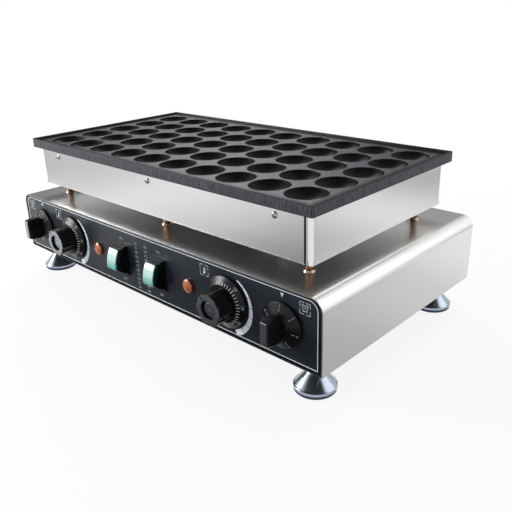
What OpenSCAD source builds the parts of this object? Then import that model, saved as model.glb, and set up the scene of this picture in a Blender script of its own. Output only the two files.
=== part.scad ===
// Electric poffertjes maker: a coated griddle plate with rows of small wells on a heater
// housing, standing on posts over a control base with adjustable feet.
// Millimetres. +X to the right, +Y to the back, +Z up. The controls face -Y.
// The origin is on the table, under the middle of the griddle plate.

/* [Griddle plate] */
// Width of the griddle plate
plate_w = 540; // [536:1:546]
// Depth of the griddle plate
plate_d = 283; // [281:1:289]
// Height of the plate's lip above the table
plate_top = 212; // [210:1:224]
// Height of the plate's side face
rim_h = 13; // [12:0.5:16]
// Height of the lip above the cooking surface
lip_h = 3.3; // [2:0.1:4]
// Width of the lip
lip_w = 3; // [2:0.5:4]
// Wells across the plate
well_cols = 10; // [10]
// Wells from front to back
well_rows = 5; // [5]
// Distance between neighbouring wells
well_pitch = 51.5; // [50:0.1:51.6]
// Diameter of a well at the cooking surface
well_d = 47; // [42:0.5:48]
// Depth of a well
well_depth = 11; // [8:0.5:12]

/* [Heater housing] */
// Width of the heater housing
housing_w = 525; // [520:1:530]
// Depth of the heater housing
housing_d = 267; // [262:1:272]
// Height of the heater housing
housing_h = 55; // [54:1:60]
// Radius of the upright bends at its corners
housing_bend = 7; // [5:0.5:9]

/* [Control base] */
// Width of the control base
base_w = 592; // [586:1:600]
// Front edge of the base, in front of the plate's middle
base_front = 157.1; // [155:0.1:160]
// Back edge of the base, behind the plate's middle
base_back = 164.2; // [162:0.1:168]
// Height of the base's underside above the table
base_z = 38; // [38:1:40]
// Height of the base itself
base_h = 87; // [86:1:90]
// Radius of the bends along the top of the base
base_bend = 15; // [10:1:18]
// Height of the posts between the base and the housing
gap_h = 19; // [18:1:30]

/* [Controls] */
// Height of the knobs' middle above the table
knob_z = 82; // [80:0.5:84]
// Distance of the thermostat knobs from the middle
thermostat_x = 161; // [155:1:165]
// Distance of the timer knobs from the middle
timer_x = 244; // [240:1:248]
// Distance of the rocker switches from the middle
switch_x = 39; // [35:1:45]
// Distance of the indicator lamps from the middle
lamp_x = 95; // [85:1:105]
// How far the knobs stand out of the base's front edge
knob_reach = 30; // [28:0.5:32]

/* [Feet] */
// Distance of the feet from the middle, sideways
foot_x = 266; // [255:1:268]
// Distance of the front feet from the plate's middle
foot_front = 130; // [125:1:132]
// Distance of the back feet from the plate's middle
foot_back = 127; // [120:1:135]
// Diameter of a foot
foot_d = 49; // [44:1:52]

/* [Hidden] */
$fn = 72;

LEFT = -1;
RIGHT = 1;
FRONT = -1;
BACK = 1;

// Heights, from the table up
base_top = base_z + base_h;
housing_z = base_top + gap_h;
housing_top = housing_z + housing_h;
rim_z = plate_top - rim_h;
web_top = plate_top - lip_h;
web_t = 6;
web_z = web_top - web_t;
well_bottom = web_top - well_depth;
boss_z = well_bottom - 4.5;

// Sheet thicknesses
housing_t = 1.2;
base_t = 1.5;
panel_t = 1.5;
overlay_t = 0.5;

// The printed film lies this far behind the front edge of the base
film_set = 0.5;
panel_y = -base_front + film_set + overlay_t;
panel_back = panel_y + panel_t;

// Wells: a short sloping wall above a spherical bowl
well_wall = 2.5;
well_wall_r = well_d / 2 - 0.8;
bowl_depth = well_depth - well_wall;
bowl_r = (pow(well_wall_r, 2) + pow(bowl_depth, 2)) / (2 * bowl_depth);

// Heating elements under the plate
element_d = 8;
element_z = boss_z - 0.6 - element_d / 2;
element_outer_x = 225;
element_inner_x = 40;
element_end_x = 14;
clamp_xs = [-4 * well_pitch, -well_pitch, well_pitch, 4 * well_pitch];
clamp_t = 3;
clamp_z = element_z - element_d / 2 - 0.3 - clamp_t;
clamp_stud_r = 2.5;
bolt_xs = [-3 * well_pitch, 3 * well_pitch];
bolt_ys = [-well_pitch, well_pitch];
bolt_r = 3;
bolt_hole_r = 3.4;
board_z = housing_z + housing_t + 0.3;
board_t = 12;

// Conduit for the wires between the base and the housing
conduit_y = 30;
conduit_r = 16;
conduit_bore_r = 14;
wire_d = 3;
wire_side = 8;
wire_level = 172;

// Posts between the base and the housing
post_xs = [-240, 0, 240];
post_ys = [-108.5, 108.5];
post_d = 8.5;
collar_d = 14;
collar_top_d = 11.4;
collar_h = 2.8;
cover_screw_xs = [-214, 0, 214];
cover_screw_z = 189.5;

// Rocker switches: heights are above the table, reaches are in front of the base's edge
rocker_w = 20.5;
rocker_pivot = [-2, 83];
rocker_low_r = 20.4;
rocker_high_r = 16.3;
bezel_w = 25.3;
window_w = 21.1;
window_low = 62.3;
window_high = 99.6;
bezel_low = 60;
bezel_high = 101.6;
bezel_high_reach = 6;
bezel_low_reach = 2;
switch_body_w = 23.5;
switch_body_low = 61;
switch_body_high = 100.9;
switch_depth = 30;
rocker_pocket = 18.5;
trunnion_r = 1.5;

// How far the lamps sit below the knobs' middle
lamp_drop = 0.6;

// Running fits and bores
run_gap = 0.05;
shaft_r = 3;
cap_drop = 5.5;  // from the grip's face down to the seat of its round button
bush_reach = 3.6;
stem_r = 4.95;
cord_bore_r = 4.5;
gland_x = 200;
gland_z = 72;
gland_reach = base_front + knob_reach - base_back;

// Feet
pad_h = 4;
rim_top = 8;
cone_top = 26;
neck_r = 7;
stem_top = 60;
nut_h = 8;

function well_x(i) = (i - (well_cols - 1) / 2) * well_pitch;
function well_y(j) = (j - (well_rows - 1) / 2) * well_pitch;
function foot_y(end) = end == FRONT ? -foot_front : foot_back;
// A point at an angle and distance from the rocker's pivot, as [reach, height]
function about_pivot(r, a) = [rocker_pivot[0] + r * sin(a), rocker_pivot[1] + r * cos(a)];

// Rectangle with round corners, about its middle
module round_rect(w, d, r) {
    square([w - 2 * r, d], center = true);
    square([w, d - 2 * r], center = true);
    for (x = [-1, 1], y = [-1, 1])
        translate([x * (w / 2 - r), y * (d / 2 - r)]) circle(r = r);
}

// Upright outline with two round corners at the top
module arch(w, low, high, r) {
    translate([-w / 2, low]) square([w, high - low - r]);
    translate([-w / 2 + r, low]) square([w - 2 * r, high - low]);
    for (x = [-1, 1])
        translate([x * (w / 2 - r), high - r]) circle(r = r);
}

// Puts children on the front at a height: their +z then points out of the front
module on_front(x, z) {
    translate([x, -base_front, z]) rotate([90, 0, 0]) children();
}

// Extrudes an outline given as [reach in front of the base's edge, height] along X
module side_profile(x, w) {
    translate([x, -base_front, 0]) rotate([90, 0, -90])
        linear_extrude(w, center = true) children();
}

module tube(r, bore, h) {
    difference() {
        cylinder(r = r, h = h);
        translate([0, 0, -1]) cylinder(r = bore, h = h + 2);
    }
}

// Straight round bar between two points
module rod(a, b, d) {
    v = b - a;
    l = norm(v);
    translate(a) rotate([0, acos(v[2] / l), atan2(v[1], v[0])]) cylinder(h = l, d = d);
}

// Wire through a list of points, with a ball at each bend
module wire(points, d) {
    for (i = [0:len(points) - 2]) rod(points[i], points[i + 1], d);
    for (i = [1:len(points) - 2]) translate(points[i]) sphere(d = d + 0.4);
}

module hexagon_prism(across, h) {
    cylinder(d = across / cos(30), h = h, $fn = 6);
}

// One well, as the shape to cut out of the plate: the bowl is an arc turned about its middle
module well() {
    arc_steps = 8;
    arc_angle = asin(well_wall_r / bowl_r);
    rotate_extrude() polygon(concat(
        [[0, web_top + 1], [0, well_bottom]],
        [for (a = [1:arc_steps]) [bowl_r * sin(a * arc_angle / arc_steps),
                                  well_bottom + bowl_r * (1 - cos(a * arc_angle / arc_steps))]],
        [[well_d / 2, web_top], [well_d / 2, web_top + 1]]));
}

module griddle_plate() color("#38383b") {
    rim_wall = 16;
    difference() {
        union() {
            difference() {
                translate([0, 0, rim_z]) linear_extrude(rim_h) round_rect(plate_w, plate_d, 2);
                translate([0, 0, rim_z - 1]) linear_extrude(web_z - rim_z + 1)
                    round_rect(plate_w - 2 * rim_wall, plate_d - 2 * rim_wall, 4);
            }
            for (i = [0:well_cols - 1], j = [0:well_rows - 1])
                translate([well_x(i), well_y(j), boss_z])
                    cylinder(r1 = 16, r2 = 24, h = web_z - boss_z + 1);
            for (x = clamp_xs, y = bolt_ys) translate([x, y, boss_z + 2]) cylinder(r = 5, h = 8);
            for (x = bolt_xs, y = bolt_ys) translate([x, y, boss_z + 2]) cylinder(r = 6, h = 8);
        }
        translate([0, 0, web_top]) linear_extrude(lip_h + 1)
            round_rect(plate_w - 2 * lip_w, plate_d - 2 * lip_w, 1.5);
        for (i = [0:well_cols - 1], j = [0:well_rows - 1])
            translate([well_x(i), well_y(j), 0]) well();
        for (x = clamp_xs, y = bolt_ys)
            translate([x, y, boss_z]) cylinder(r = clamp_stud_r + run_gap, h = 9);
        for (x = bolt_xs, y = bolt_ys)
            translate([x, y, boss_z]) cylinder(r = bolt_r + run_gap, h = 10);
    }
}

module plate_bolts() color("#b9bbbd") {
    for (x = bolt_xs, y = bolt_ys) translate([x, y, 0]) {
        translate([0, 0, housing_z - 4]) hexagon_prism(10, 4);
        translate([0, 0, housing_z]) cylinder(r = bolt_r, h = boss_z + 9.5 - housing_z);
    }
}

// Four straight runs between the rows of wells, joined by half rings
module heating_element(side) color("#6f6a66") {
    run_y = well_pitch / 2;
    r = element_d / 2;
    mirror([side == LEFT ? 1 : 0, 0, 0]) translate([0, 0, element_z]) {
        for (y = [-3, 3]) translate([element_end_x, y * run_y, 0]) rotate([0, 90, 0])
            cylinder(r = r, h = element_outer_x - element_end_x);
        for (y = [-1, 1]) translate([element_inner_x, y * run_y, 0]) rotate([0, 90, 0])
            cylinder(r = r, h = element_outer_x - element_inner_x);
        for (y = [-2, 2]) translate([element_outer_x, y * run_y, 0]) rotate([0, 0, -90])
            rotate_extrude(angle = 180) translate([run_y, 0]) circle(r = r);
        translate([element_inner_x, 0, 0]) rotate([0, 0, 90])
            rotate_extrude(angle = 180) translate([run_y, 0]) circle(r = r);
    }
}

module element_clamps() color("#9a9c9e") {
    for (x = clamp_xs) {
        translate([x - 6, -90, clamp_z]) cube([12, 180, clamp_t]);
        for (y = bolt_ys) translate([x, y, clamp_z - 4]) {
            hexagon_prism(8, 4);
            cylinder(r = clamp_stud_r, h = boss_z + 8.5 - clamp_z + 4);
        }
    }
}

module insulation_board() color("#e4dfd2") {
    difference() {
        translate([0, 0, board_z]) linear_extrude(board_t)
            round_rect(housing_w - 40, housing_d - 40, 4);
        for (x = bolt_xs, y = bolt_ys) translate([x, y, board_z - 1])
            cylinder(r = bolt_hole_r, h = board_t + 2);
        translate([0, conduit_y, board_z - 1]) cylinder(r = conduit_r + 4, h = board_t + 2);
    }
}

// Outline of the folded housing wall: side walls, round upright bends and return flanges
module housing_wall_outline() {
    flange = 16;
    inner_bend = housing_bend - housing_t;
    difference() {
        round_rect(housing_w, housing_d, housing_bend);
        round_rect(housing_w - 2 * housing_t, housing_d - 2 * housing_t, inner_bend);
        square([housing_w - 2 * housing_bend, housing_d + 2], center = true);
    }
    for (x = [-1, 1], y = [-1, 1])
        translate([x * (housing_w / 2 - housing_bend - flange / 2),
                   y * (housing_d / 2 - 1.5 * housing_t)])
            square([flange + 1, housing_t], center = true);
}

module heater_housing() color("#c9cbca") {
    difference() {
        union() {
            translate([0, 0, housing_z]) linear_extrude(housing_h) housing_wall_outline();
            translate([0, 0, housing_z]) linear_extrude(housing_t)
                square([housing_w - 2 * housing_t + 1, housing_d - 4 * housing_t + 1],
                       center = true);
        }
        for (x = bolt_xs, y = bolt_ys) translate([x, y, housing_z - 1])
            cylinder(r = bolt_hole_r, h = housing_t + 2);
        translate([0, conduit_y, housing_z - 1]) cylinder(r = conduit_bore_r, h = housing_t + 2);
        for (x = cover_screw_xs, y = [FRONT, BACK])
            translate([x, y * housing_d / 2, cover_screw_z]) rotate([90, 0, 0])
                cylinder(r = 2.05, h = 20, center = true);
    }
}

// Flat cover between the bends; it sits a little to the left, so its right seam is the wider one
module housing_cover(end) color("#cfd1d0") {
    seam = 1.6;
    shift = 0.9;
    w = housing_w - 2 * housing_bend - 2 * seam;
    difference() {
        translate([-w / 2 - shift, end * (housing_d / 2 - housing_t / 2) - housing_t / 2, housing_z])
            cube([w, housing_t, housing_h]);
        for (x = cover_screw_xs) translate([x, end * housing_d / 2, cover_screw_z])
            rotate([90, 0, 0]) cylinder(r = 2.05, h = 10, center = true);
    }
}

// Pan head screws with a cross recess, three in each cover
module cover_screws() color("#8d8f90") {
    for (x = cover_screw_xs, end = [FRONT, BACK])
        translate([x, end * housing_d / 2, cover_screw_z]) rotate([end == FRONT ? 90 : -90, 0, 0])
            difference() {
                union() {
                    cylinder(r1 = 4, r2 = 2.6, h = 2);
                    translate([0, 0, -7]) cylinder(r = 2, h = 7);
                }
                for (a = [0, 90]) rotate([0, 0, a])
                    translate([-1.9, -0.35, 1]) cube([3.8, 0.7, 2]);
            }
}

module standoff_posts() color("#b08a4a") {
    for (x = post_xs, y = post_ys) translate([x, y, base_top]) cylinder(d = post_d, h = gap_h);
}

// Bevelled rings round the feet of the posts
module standoff_collars() color("#c29a56") {
    for (x = post_xs, y = post_ys) translate([x, y, base_top]) difference() {
        cylinder(d1 = collar_d, d2 = collar_top_d, h = collar_h);
        translate([0, 0, -1]) cylinder(r = post_d / 2 + run_gap, h = collar_h + 2);
    }
}

module wire_conduit() color("#8d8f90") {
    translate([0, conduit_y, base_top]) tube(conduit_r, conduit_bore_r, gap_h);
}

// Two leads from each element, down the conduit: one to the thermostat, one to the terminals
module lead_wires() color("#c8c2b4") {
    element_y = 3 * well_pitch / 2;
    for (side = [LEFT, RIGHT]) {
        start = side * (element_end_x - 0.3);
        x = side * wire_side;
        front_y = conduit_y - 6;
        back_y = conduit_y + 6;
        wire([[start, -element_y, element_z], [x, -element_y, element_z],
              [x, -element_y, wire_level], [x, front_y, wire_level], [x, front_y, 98],
              [side * (thermostat_x - 8), -100, 98],
              [side * (thermostat_x - 8), panel_back + 28.4, 98]], wire_d);
        wire([[start, element_y, element_z], [x, element_y, element_z],
              [x, element_y, wire_level], [x, back_y, wire_level], [x, back_y, 90],
              [side * 14, 118, 90], [side * 14, 118, 64.4]], wire_d);
    }
}

// Sensor bulb under the middle row of wells, with its thin tube down to the thermostat
module sensor_bulb(side) color("#c07c4a") {
    translate([side * 115, 0, element_z]) rotate([0, 90, 0])
        cylinder(r = 3, h = 70, center = true);
    wire([[side * 80.2, 0, element_z], [side * 34, 0, element_z], [side * 34, 0, 177],
          [side * 3, conduit_y, 177], [side * 3, conduit_y, 106], [side * 3, -10, 106],
          [side * (thermostat_x + 8), -100, 106], [side * (thermostat_x + 8), -100, 90],
          [side * (thermostat_x + 8), panel_back + 28.4, 90]], 1.6);
}

// Folded sheet: a top with two round bends, two sides and flanges turned in below
module base_shell() color("#c6c7c5") {
    flange = 14;
    flange_z = base_z + base_t;
    difference() {
        union() {
            translate([0, base_back, 0]) rotate([90, 0, 0])
                linear_extrude(base_front + base_back) difference() {
                    arch(base_w, base_z, base_top, base_bend);
                    translate([0, -1]) arch(base_w - 2 * base_t, base_z, base_top - base_t + 1,
                                            base_bend - base_t);
                }
            for (side = [LEFT, RIGHT])
                translate([side * (base_w / 2 - base_t / 2 - flange / 2) - flange / 2,
                           -base_front + 4, flange_z])
                    cube([flange, base_front + base_back - 8, base_t]);
        }
        translate([0, conduit_y, base_top - 5]) cylinder(r = conduit_bore_r, h = 10);
        for (x = [-1, 1], y = [-1, 0, 1])
            translate([x * (base_w / 2 - base_t - 7), y * 60, flange_z - 1])
                cylinder(r = 2.05, h = base_t + 2);
    }
}

module control_panel() color("#141518") {
    gap = 0.2;
    w = base_w - 2 * base_t - 2 * gap;
    low = base_z + 2 * base_t + gap;
    difference() {
        translate([0, panel_back, 0]) rotate([90, 0, 0]) linear_extrude(panel_t)
            arch(w, low, base_top - base_t - gap, base_bend - base_t - gap);
        panel_holes();
    }
}

// Every hole through the panel and the film on it
module panel_holes() {
    for (side = [LEFT, RIGHT]) {
        on_front(side * thermostat_x, knob_z) cylinder(r = 5.2, h = 20, center = true);
        on_front(side * timer_x, knob_z) cylinder(r = 5.2, h = 20, center = true);
        on_front(side * lamp_x, knob_z - lamp_drop) cylinder(r = 6.15, h = 20, center = true);
        on_front(side * switch_x, (switch_body_low + switch_body_high) / 2)
            cube([switch_body_w + 0.3, switch_body_high - switch_body_low + 0.3, 20],
                 center = true);
    }
}

module panel_overlay() color("#4a5666") {
    difference() {
        translate([0, panel_y, 0]) rotate([90, 0, 0]) linear_extrude(overlay_t)
            arch(base_w - 11, 42.5, base_top - 3.2, 11.5);
        panel_holes();
    }
}

module back_panel() color("#bfc1c0") {
    gap = 0.2;
    slot_l = 26;
    difference() {
        translate([0, base_back - 0.5, 0]) rotate([90, 0, 0]) linear_extrude(base_t)
            arch(base_w - 2 * base_t - 2 * gap, base_z + 2 * base_t + gap,
                 base_top - base_t - gap, base_bend - base_t - gap);
        for (i = [-9:5], k = [-1, 1])
            translate([i * 24, base_back - 1, 82 + k * 17]) rotate([90, 0, 0])
                linear_extrude(10, center = true) round_rect(5, slot_l, 2.4);
        translate([gland_x, base_back - 1, gland_z]) rotate([90, 0, 0])
            cylinder(r = 10.2, h = 10, center = true);
    }
}

module bottom_plate() color("#aeb0af") {
    inset = 0.3;
    w = base_w - 2 * base_t - 2 * inset;
    d = base_front + base_back - 2 * inset;
    difference() {
        translate([-w / 2, -base_front + inset, base_z]) cube([w, d, base_t]);
        for (side = [LEFT, RIGHT], end = [FRONT, BACK])
            translate([side * foot_x, foot_y(end), base_z - 1]) cylinder(r = 5.4, h = base_t + 2);
        for (side = [LEFT, RIGHT], i = [0:7])
            translate([side * 130 + (i - 3.5) * 20, 0, base_z - 1]) linear_extrude(base_t + 2)
                round_rect(6, 90, 2.9);
        for (x = [-1, 1], y = [-1, 0, 1])
            translate([x * (base_w / 2 - base_t - 7), y * 60, base_z - 1])
                cylinder(r = 2.05, h = base_t + 2);
    }
}

// Screws that hold the bottom plate to the shell's flanges
module base_screws() color("#8d8f90") {
    for (x = [-1, 1], y = [-1, 0, 1])
        translate([x * (base_w / 2 - base_t - 7), y * 60, base_z]) {
            translate([0, 0, -2]) cylinder(r1 = 2.6, r2 = 3.8, h = 2);
            cylinder(r = 2, h = 9);
        }
}

// Weld nuts on the bottom plate, one over each foot
module foot_nuts() color("#9a9c9e") {
    for (side = [LEFT, RIGHT], end = [FRONT, BACK])
        translate([side * foot_x, foot_y(end), base_z + base_t]) difference() {
            hexagon_prism(16, nut_h);
            translate([0, 0, -1]) cylinder(r = stem_r + run_gap, h = nut_h + 2);
        }
}

// Capillary thermostat behind the panel: a case, a threaded bush and its nut
module thermostat_body(side) color("#d9d6cc") {
    translate([side * thermostat_x, panel_back, knob_z]) rotate([-90, 0, 0]) difference() {
        union() {
            translate([-18, -18, 0]) cube([36, 36, 28]);
            translate([0, 0, -bush_reach]) cylinder(r = 5, h = bush_reach + 1);
        }
        translate([0, 0, -7]) cylinder(r = shaft_r + run_gap, h = 22);
    }
}

module timer_body(side) color("#d9d6cc") {
    translate([side * timer_x, panel_back, knob_z]) rotate([-90, 0, 0]) difference() {
        union() {
            cylinder(r = 24, h = 36);
            translate([0, 0, -bush_reach]) cylinder(r = 5, h = bush_reach + 1);
        }
        translate([0, 0, -7]) cylinder(r = shaft_r + run_gap, h = 22);
    }
}

// Bezel with a low wall that slopes with the rocker, in one moulding with the case behind
module switch_housing(side) color("#101112") {
    x = side * switch_x;
    back = -film_set;
    body_mid = (switch_body_low + switch_body_high) / 2;
    difference() {
        union() {
            side_profile(x, bezel_w) polygon([
                [back, bezel_low], [bezel_low_reach, bezel_low],
                [bezel_low_reach + 0.4, window_low], [bezel_high_reach, bezel_high],
                [back, bezel_high]]);
            on_front(x, body_mid) translate([0, 0, -switch_depth / 2 - film_set + 0.2])
                cube([switch_body_w, switch_body_high - switch_body_low, switch_depth],
                     center = true);
        }
        translate([x - window_w / 2, -base_front - 20, window_low])
            cube([window_w, 20 + rocker_pocket, window_high - window_low]);
        translate([x, -base_front - rocker_pivot[0], rocker_pivot[1]]) rotate([0, 90, 0])
            cylinder(r = trunnion_r + run_gap, h = bezel_w + 2, center = true);
    }
}

// The rocker has a bulging front, and is shaped round its pivot to clear the bezel as it tips
module switch_rocker(side) color("#9fe3c4") {
    x = side * switch_x;
    side_profile(x, rocker_w) polygon(concat(
        [[12.6, 99], [15.2, 94.5], [17.3, 89], [18.8, 83], [19.6, 77], [19.6, 72]],
        [for (a = [136:8:200]) about_pivot(rocker_low_r, a)],
        [for (a = [-35:9:10]) about_pivot(rocker_high_r, a)],
        [[1.2, 99]]));
    translate([x, -base_front - rocker_pivot[0], rocker_pivot[1]]) rotate([0, 90, 0])
        cylinder(r = trunnion_r, h = rocker_w + 2.2, center = true);
}

// Domed lens with an upright edge, on a round case
module lamp(side) color("#e58a2a") {
    dome = 2.6;
    edge = 2.2;
    lens_r = 9;
    ball_r = (pow(lens_r, 2) + pow(dome, 2)) / (2 * dome);
    on_front(side * lamp_x, knob_z - lamp_drop) {
        translate([0, 0, dome + edge - ball_r]) intersection() {
            sphere(r = ball_r);
            translate([0, 0, ball_r - dome]) cylinder(r = lens_r, h = dome + 1);
        }
        translate([0, 0, -film_set]) cylinder(r = lens_r, h = film_set + edge);
        translate([0, 0, -24]) cylinder(r = 6, h = 24);
    }
}

module terminal_block() color("#e8e6df") {
    difference() {
        translate([-34, 106, base_z + base_t]) cube([68, 24, 24]);
        for (i = [-2:2]) translate([i * 13, 124, base_z + base_t + 10]) cylinder(r = 3, h = 20);
    }
}

// Cord gland in the back panel, with a true bore for the cord
module cable_gland() color("#1a1b1d") {
    translate([gland_x, base_back - 0.5, gland_z]) rotate([-90, 0, 0]) difference() {
        union() {
            hexagon_prism(24, 6);
            translate([0, 0, -14]) cylinder(r = 10, h = 14.5);
            translate([0, 0, 5.5]) cylinder(r = 8.5, h = gland_reach - 9);
        }
        translate([0, 0, -15]) cylinder(r = cord_bore_r, h = gland_reach + 20);
    }
}

// Domed nut that clamps the cord
module gland_cap() color("#1a1b1d") {
    start = 6.3;
    cap_l = gland_reach + 0.5 - start;
    translate([gland_x, base_back - 0.5, gland_z]) rotate([-90, 0, 0]) difference() {
        union() {
            translate([0, 0, start]) hexagon_prism(22, cap_l - 6);
            translate([0, 0, start + cap_l - 6]) cylinder(r1 = 11, r2 = 7.5, h = 6);
        }
        translate([0, 0, start - 1]) cylinder(r = 8.7, h = gland_reach - 8.4);
        translate([0, 0, start]) cylinder(r = cord_bore_r + 0.5, h = cap_l + 1);
    }
}

module gland_locknut() color("#1a1b1d") {
    translate([gland_x, base_back - 0.8 - base_t, gland_z]) rotate([90, 0, 0]) difference() {
        hexagon_prism(25, 5);
        translate([0, 0, -1]) cylinder(r = 10 + run_gap, h = 7);
    }
}

// Knob with a sloping dial skirt, a grip with six shallow flutes and a pointer slot between two
module thermostat_knob(side) color("#1b1b1d") {
    grip_z = 8.5;
    flutes = 6;
    flute_r = 6.1;
    flute_deep = 1.3;
    grip_r = 19.3;
    pointer_turn = 128;
    on_front(side * thermostat_x, knob_z) difference() {
        union() {
            translate([0, 0, 2]) cylinder(r = 31.5, h = 1);
            translate([0, 0, 3]) cylinder(r1 = 31.5, r2 = 22.8, h = grip_z - 3);
            translate([0, 0, grip_z]) linear_extrude(knob_reach - grip_z) difference() {
                circle(r = grip_r);
                for (i = [0:flutes - 1])
                    rotate([0, 0, pointer_turn + (i + 0.5) * 360 / flutes])
                        translate([grip_r + flute_r - flute_deep, 0]) circle(r = flute_r);
            }
        }
        translate([0, 0, knob_reach - cap_drop]) cylinder(r = 10.6, h = cap_drop + 1);
        rotate([0, 0, pointer_turn])
            translate([12, -0.8, knob_reach - 0.8]) cube([10, 1.6, 2]);
        translate([0, 0, 1]) cylinder(r = shaft_r + run_gap, h = 21);
    }
}

// Round button in the middle of the grip, with plain concentric rings
module thermostat_cap(side) color("#2a2b2e") {
    on_front(side * thermostat_x, knob_z) translate([0, 0, knob_reach - cap_drop]) difference() {
        cylinder(r = 8.9, h = 2.7);
        for (r = [3.4, 6.1]) translate([0, 0, 2.3]) tube(r + 0.6, r, 1);
    }
}

module knob_shaft(x) {
    on_front(x, knob_z) translate([0, 0, -14]) cylinder(r = shaft_r, h = 35.5);
}

module thermostat_shaft(side) color("#b9bbbd") {
    knob_shaft(side * thermostat_x);
}

// Dial with a low cone and an upright bar to turn it by, rounded where it meets the dial
module timer_knob(side) color("#1b1b1d") {
    bar_w = 10.8;
    difference() {
        union() {
            on_front(side * timer_x, knob_z) {
                translate([0, 0, 2]) cylinder(r = 26.5, h = 1.5);
                translate([0, 0, 3.5]) cylinder(r1 = 26.5, r2 = 12, h = 5);
            }
            side_profile(side * timer_x, bar_w) polygon([
                [5, knob_z - 12.5], [8, knob_z - 15.4], [13, knob_z - 16.4], [24, knob_z - 15],
                [knob_reach - 1.5, knob_z - 13.8], [knob_reach, knob_z - 12],
                [knob_reach, knob_z + 13.6], [knob_reach - 1.5, knob_z + 15.4],
                [24, knob_z + 16.2], [13, knob_z + 16.8], [8, knob_z + 14.6],
                [5, knob_z + 11]]);
        }
        on_front(side * timer_x, knob_z) translate([0, 0, 1])
            cylinder(r = shaft_r + run_gap, h = 21);
    }
}

module timer_shaft(side) color("#b9bbbd") {
    knob_shaft(side * timer_x);
}

// Bell of an adjustable foot: a low rim, a cone and a neck that stops under the base
module foot_bell(side, end) color("#d5d7d8") {
    r = foot_d / 2;
    neck_top = base_z - 0.3;
    translate([side * foot_x, foot_y(end), 0]) rotate_extrude() polygon([
        [stem_r + run_gap, pad_h], [r - 0.6, pad_h], [r, pad_h + 0.8], [r, rim_top - 1],
        [r - 1.2, rim_top], [neck_r + 2, cone_top - 2.4], [neck_r + 0.4, cone_top],
        [neck_r, cone_top + 2], [neck_r, neck_top], [stem_r + run_gap, neck_top]]);
}

module foot_stem(side, end) color("#b9bbbd") {
    translate([side * foot_x, foot_y(end), pad_h + 0.2])
        cylinder(r = stem_r, h = stem_top - pad_h - 0.2);
}

module foot_pad(side, end) color("#1c2340") {
    translate([side * foot_x, foot_y(end), 0]) rotate_extrude() polygon([
        [0, 0], [foot_d / 2 - 1.4, 0], [foot_d / 2 - 0.6, 0.8], [foot_d / 2 - 0.6, pad_h],
        [0, pad_h]]);
}

griddle_plate();
plate_bolts();
heating_element(LEFT);  // heating_element_left
heating_element(RIGHT);  // heating_element_right
element_clamps();
insulation_board();
heater_housing();
housing_cover(FRONT);  // housing_front_cover
housing_cover(BACK);  // housing_back_cover
cover_screws();
standoff_posts();
standoff_collars();
wire_conduit();
lead_wires();
sensor_bulb(LEFT);  // sensor_bulb_left
sensor_bulb(RIGHT);  // sensor_bulb_right
base_shell();
control_panel();
panel_overlay();
back_panel();
bottom_plate();
base_screws();
foot_nuts();
thermostat_body(LEFT);  // thermostat_body_left
thermostat_body(RIGHT);  // thermostat_body_right
timer_body(LEFT);  // timer_body_left
timer_body(RIGHT);  // timer_body_right
switch_housing(LEFT);  // switch_housing_left
switch_housing(RIGHT);  // switch_housing_right
lamp(LEFT);  // lamp_left
lamp(RIGHT);  // lamp_right
terminal_block();
cable_gland();
gland_cap();
gland_locknut();
thermostat_knob(LEFT);  // thermostat_knob_left
thermostat_cap(LEFT);  // thermostat_cap_left
thermostat_shaft(LEFT);  // thermostat_shaft_left
thermostat_knob(RIGHT);  // thermostat_knob_right
thermostat_cap(RIGHT);  // thermostat_cap_right
thermostat_shaft(RIGHT);  // thermostat_shaft_right
timer_knob(LEFT);  // timer_knob_left
timer_shaft(LEFT);  // timer_shaft_left
timer_knob(RIGHT);  // timer_knob_right
timer_shaft(RIGHT);  // timer_shaft_right
switch_rocker(LEFT);  // switch_rocker_left
switch_rocker(RIGHT);  // switch_rocker_right
foot_bell(LEFT, FRONT);  // foot_bell_front_left
foot_stem(LEFT, FRONT);  // foot_stem_front_left
foot_pad(LEFT, FRONT);  // foot_pad_front_left
foot_bell(RIGHT, FRONT);  // foot_bell_front_right
foot_stem(RIGHT, FRONT);  // foot_stem_front_right
foot_pad(RIGHT, FRONT);  // foot_pad_front_right
foot_bell(LEFT, BACK);  // foot_bell_back_left
foot_stem(LEFT, BACK);  // foot_stem_back_left
foot_pad(LEFT, BACK);  // foot_pad_back_left
foot_bell(RIGHT, BACK);  // foot_bell_back_right
foot_stem(RIGHT, BACK);  // foot_stem_back_right
foot_pad(RIGHT, BACK);  // foot_pad_back_right
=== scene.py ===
import bmesh
import bpy
import math
from mathutils import Matrix, Vector


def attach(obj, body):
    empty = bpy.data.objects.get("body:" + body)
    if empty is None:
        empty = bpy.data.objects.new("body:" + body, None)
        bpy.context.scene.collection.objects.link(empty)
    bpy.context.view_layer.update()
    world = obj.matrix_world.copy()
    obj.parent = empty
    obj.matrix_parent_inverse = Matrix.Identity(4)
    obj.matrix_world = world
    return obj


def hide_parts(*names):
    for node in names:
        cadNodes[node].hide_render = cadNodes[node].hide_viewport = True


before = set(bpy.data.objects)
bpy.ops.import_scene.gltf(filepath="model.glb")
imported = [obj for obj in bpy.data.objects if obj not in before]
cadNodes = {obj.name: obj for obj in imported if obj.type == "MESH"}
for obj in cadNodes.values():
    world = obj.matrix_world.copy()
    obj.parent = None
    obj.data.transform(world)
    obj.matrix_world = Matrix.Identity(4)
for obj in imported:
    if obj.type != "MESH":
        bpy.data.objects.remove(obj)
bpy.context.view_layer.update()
scene = bpy.context.scene
mm = 0.001               # sizes below are in millimetres, in the CAD frame
sides = {"left": -1, "right": 1}
baseEdge = -157.1        # y of the base's front edge


# Mesh helpers

def faceOutwards(bm):
    bmesh.ops.recalc_face_normals(bm, faces=bm.faces[:])


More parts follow.
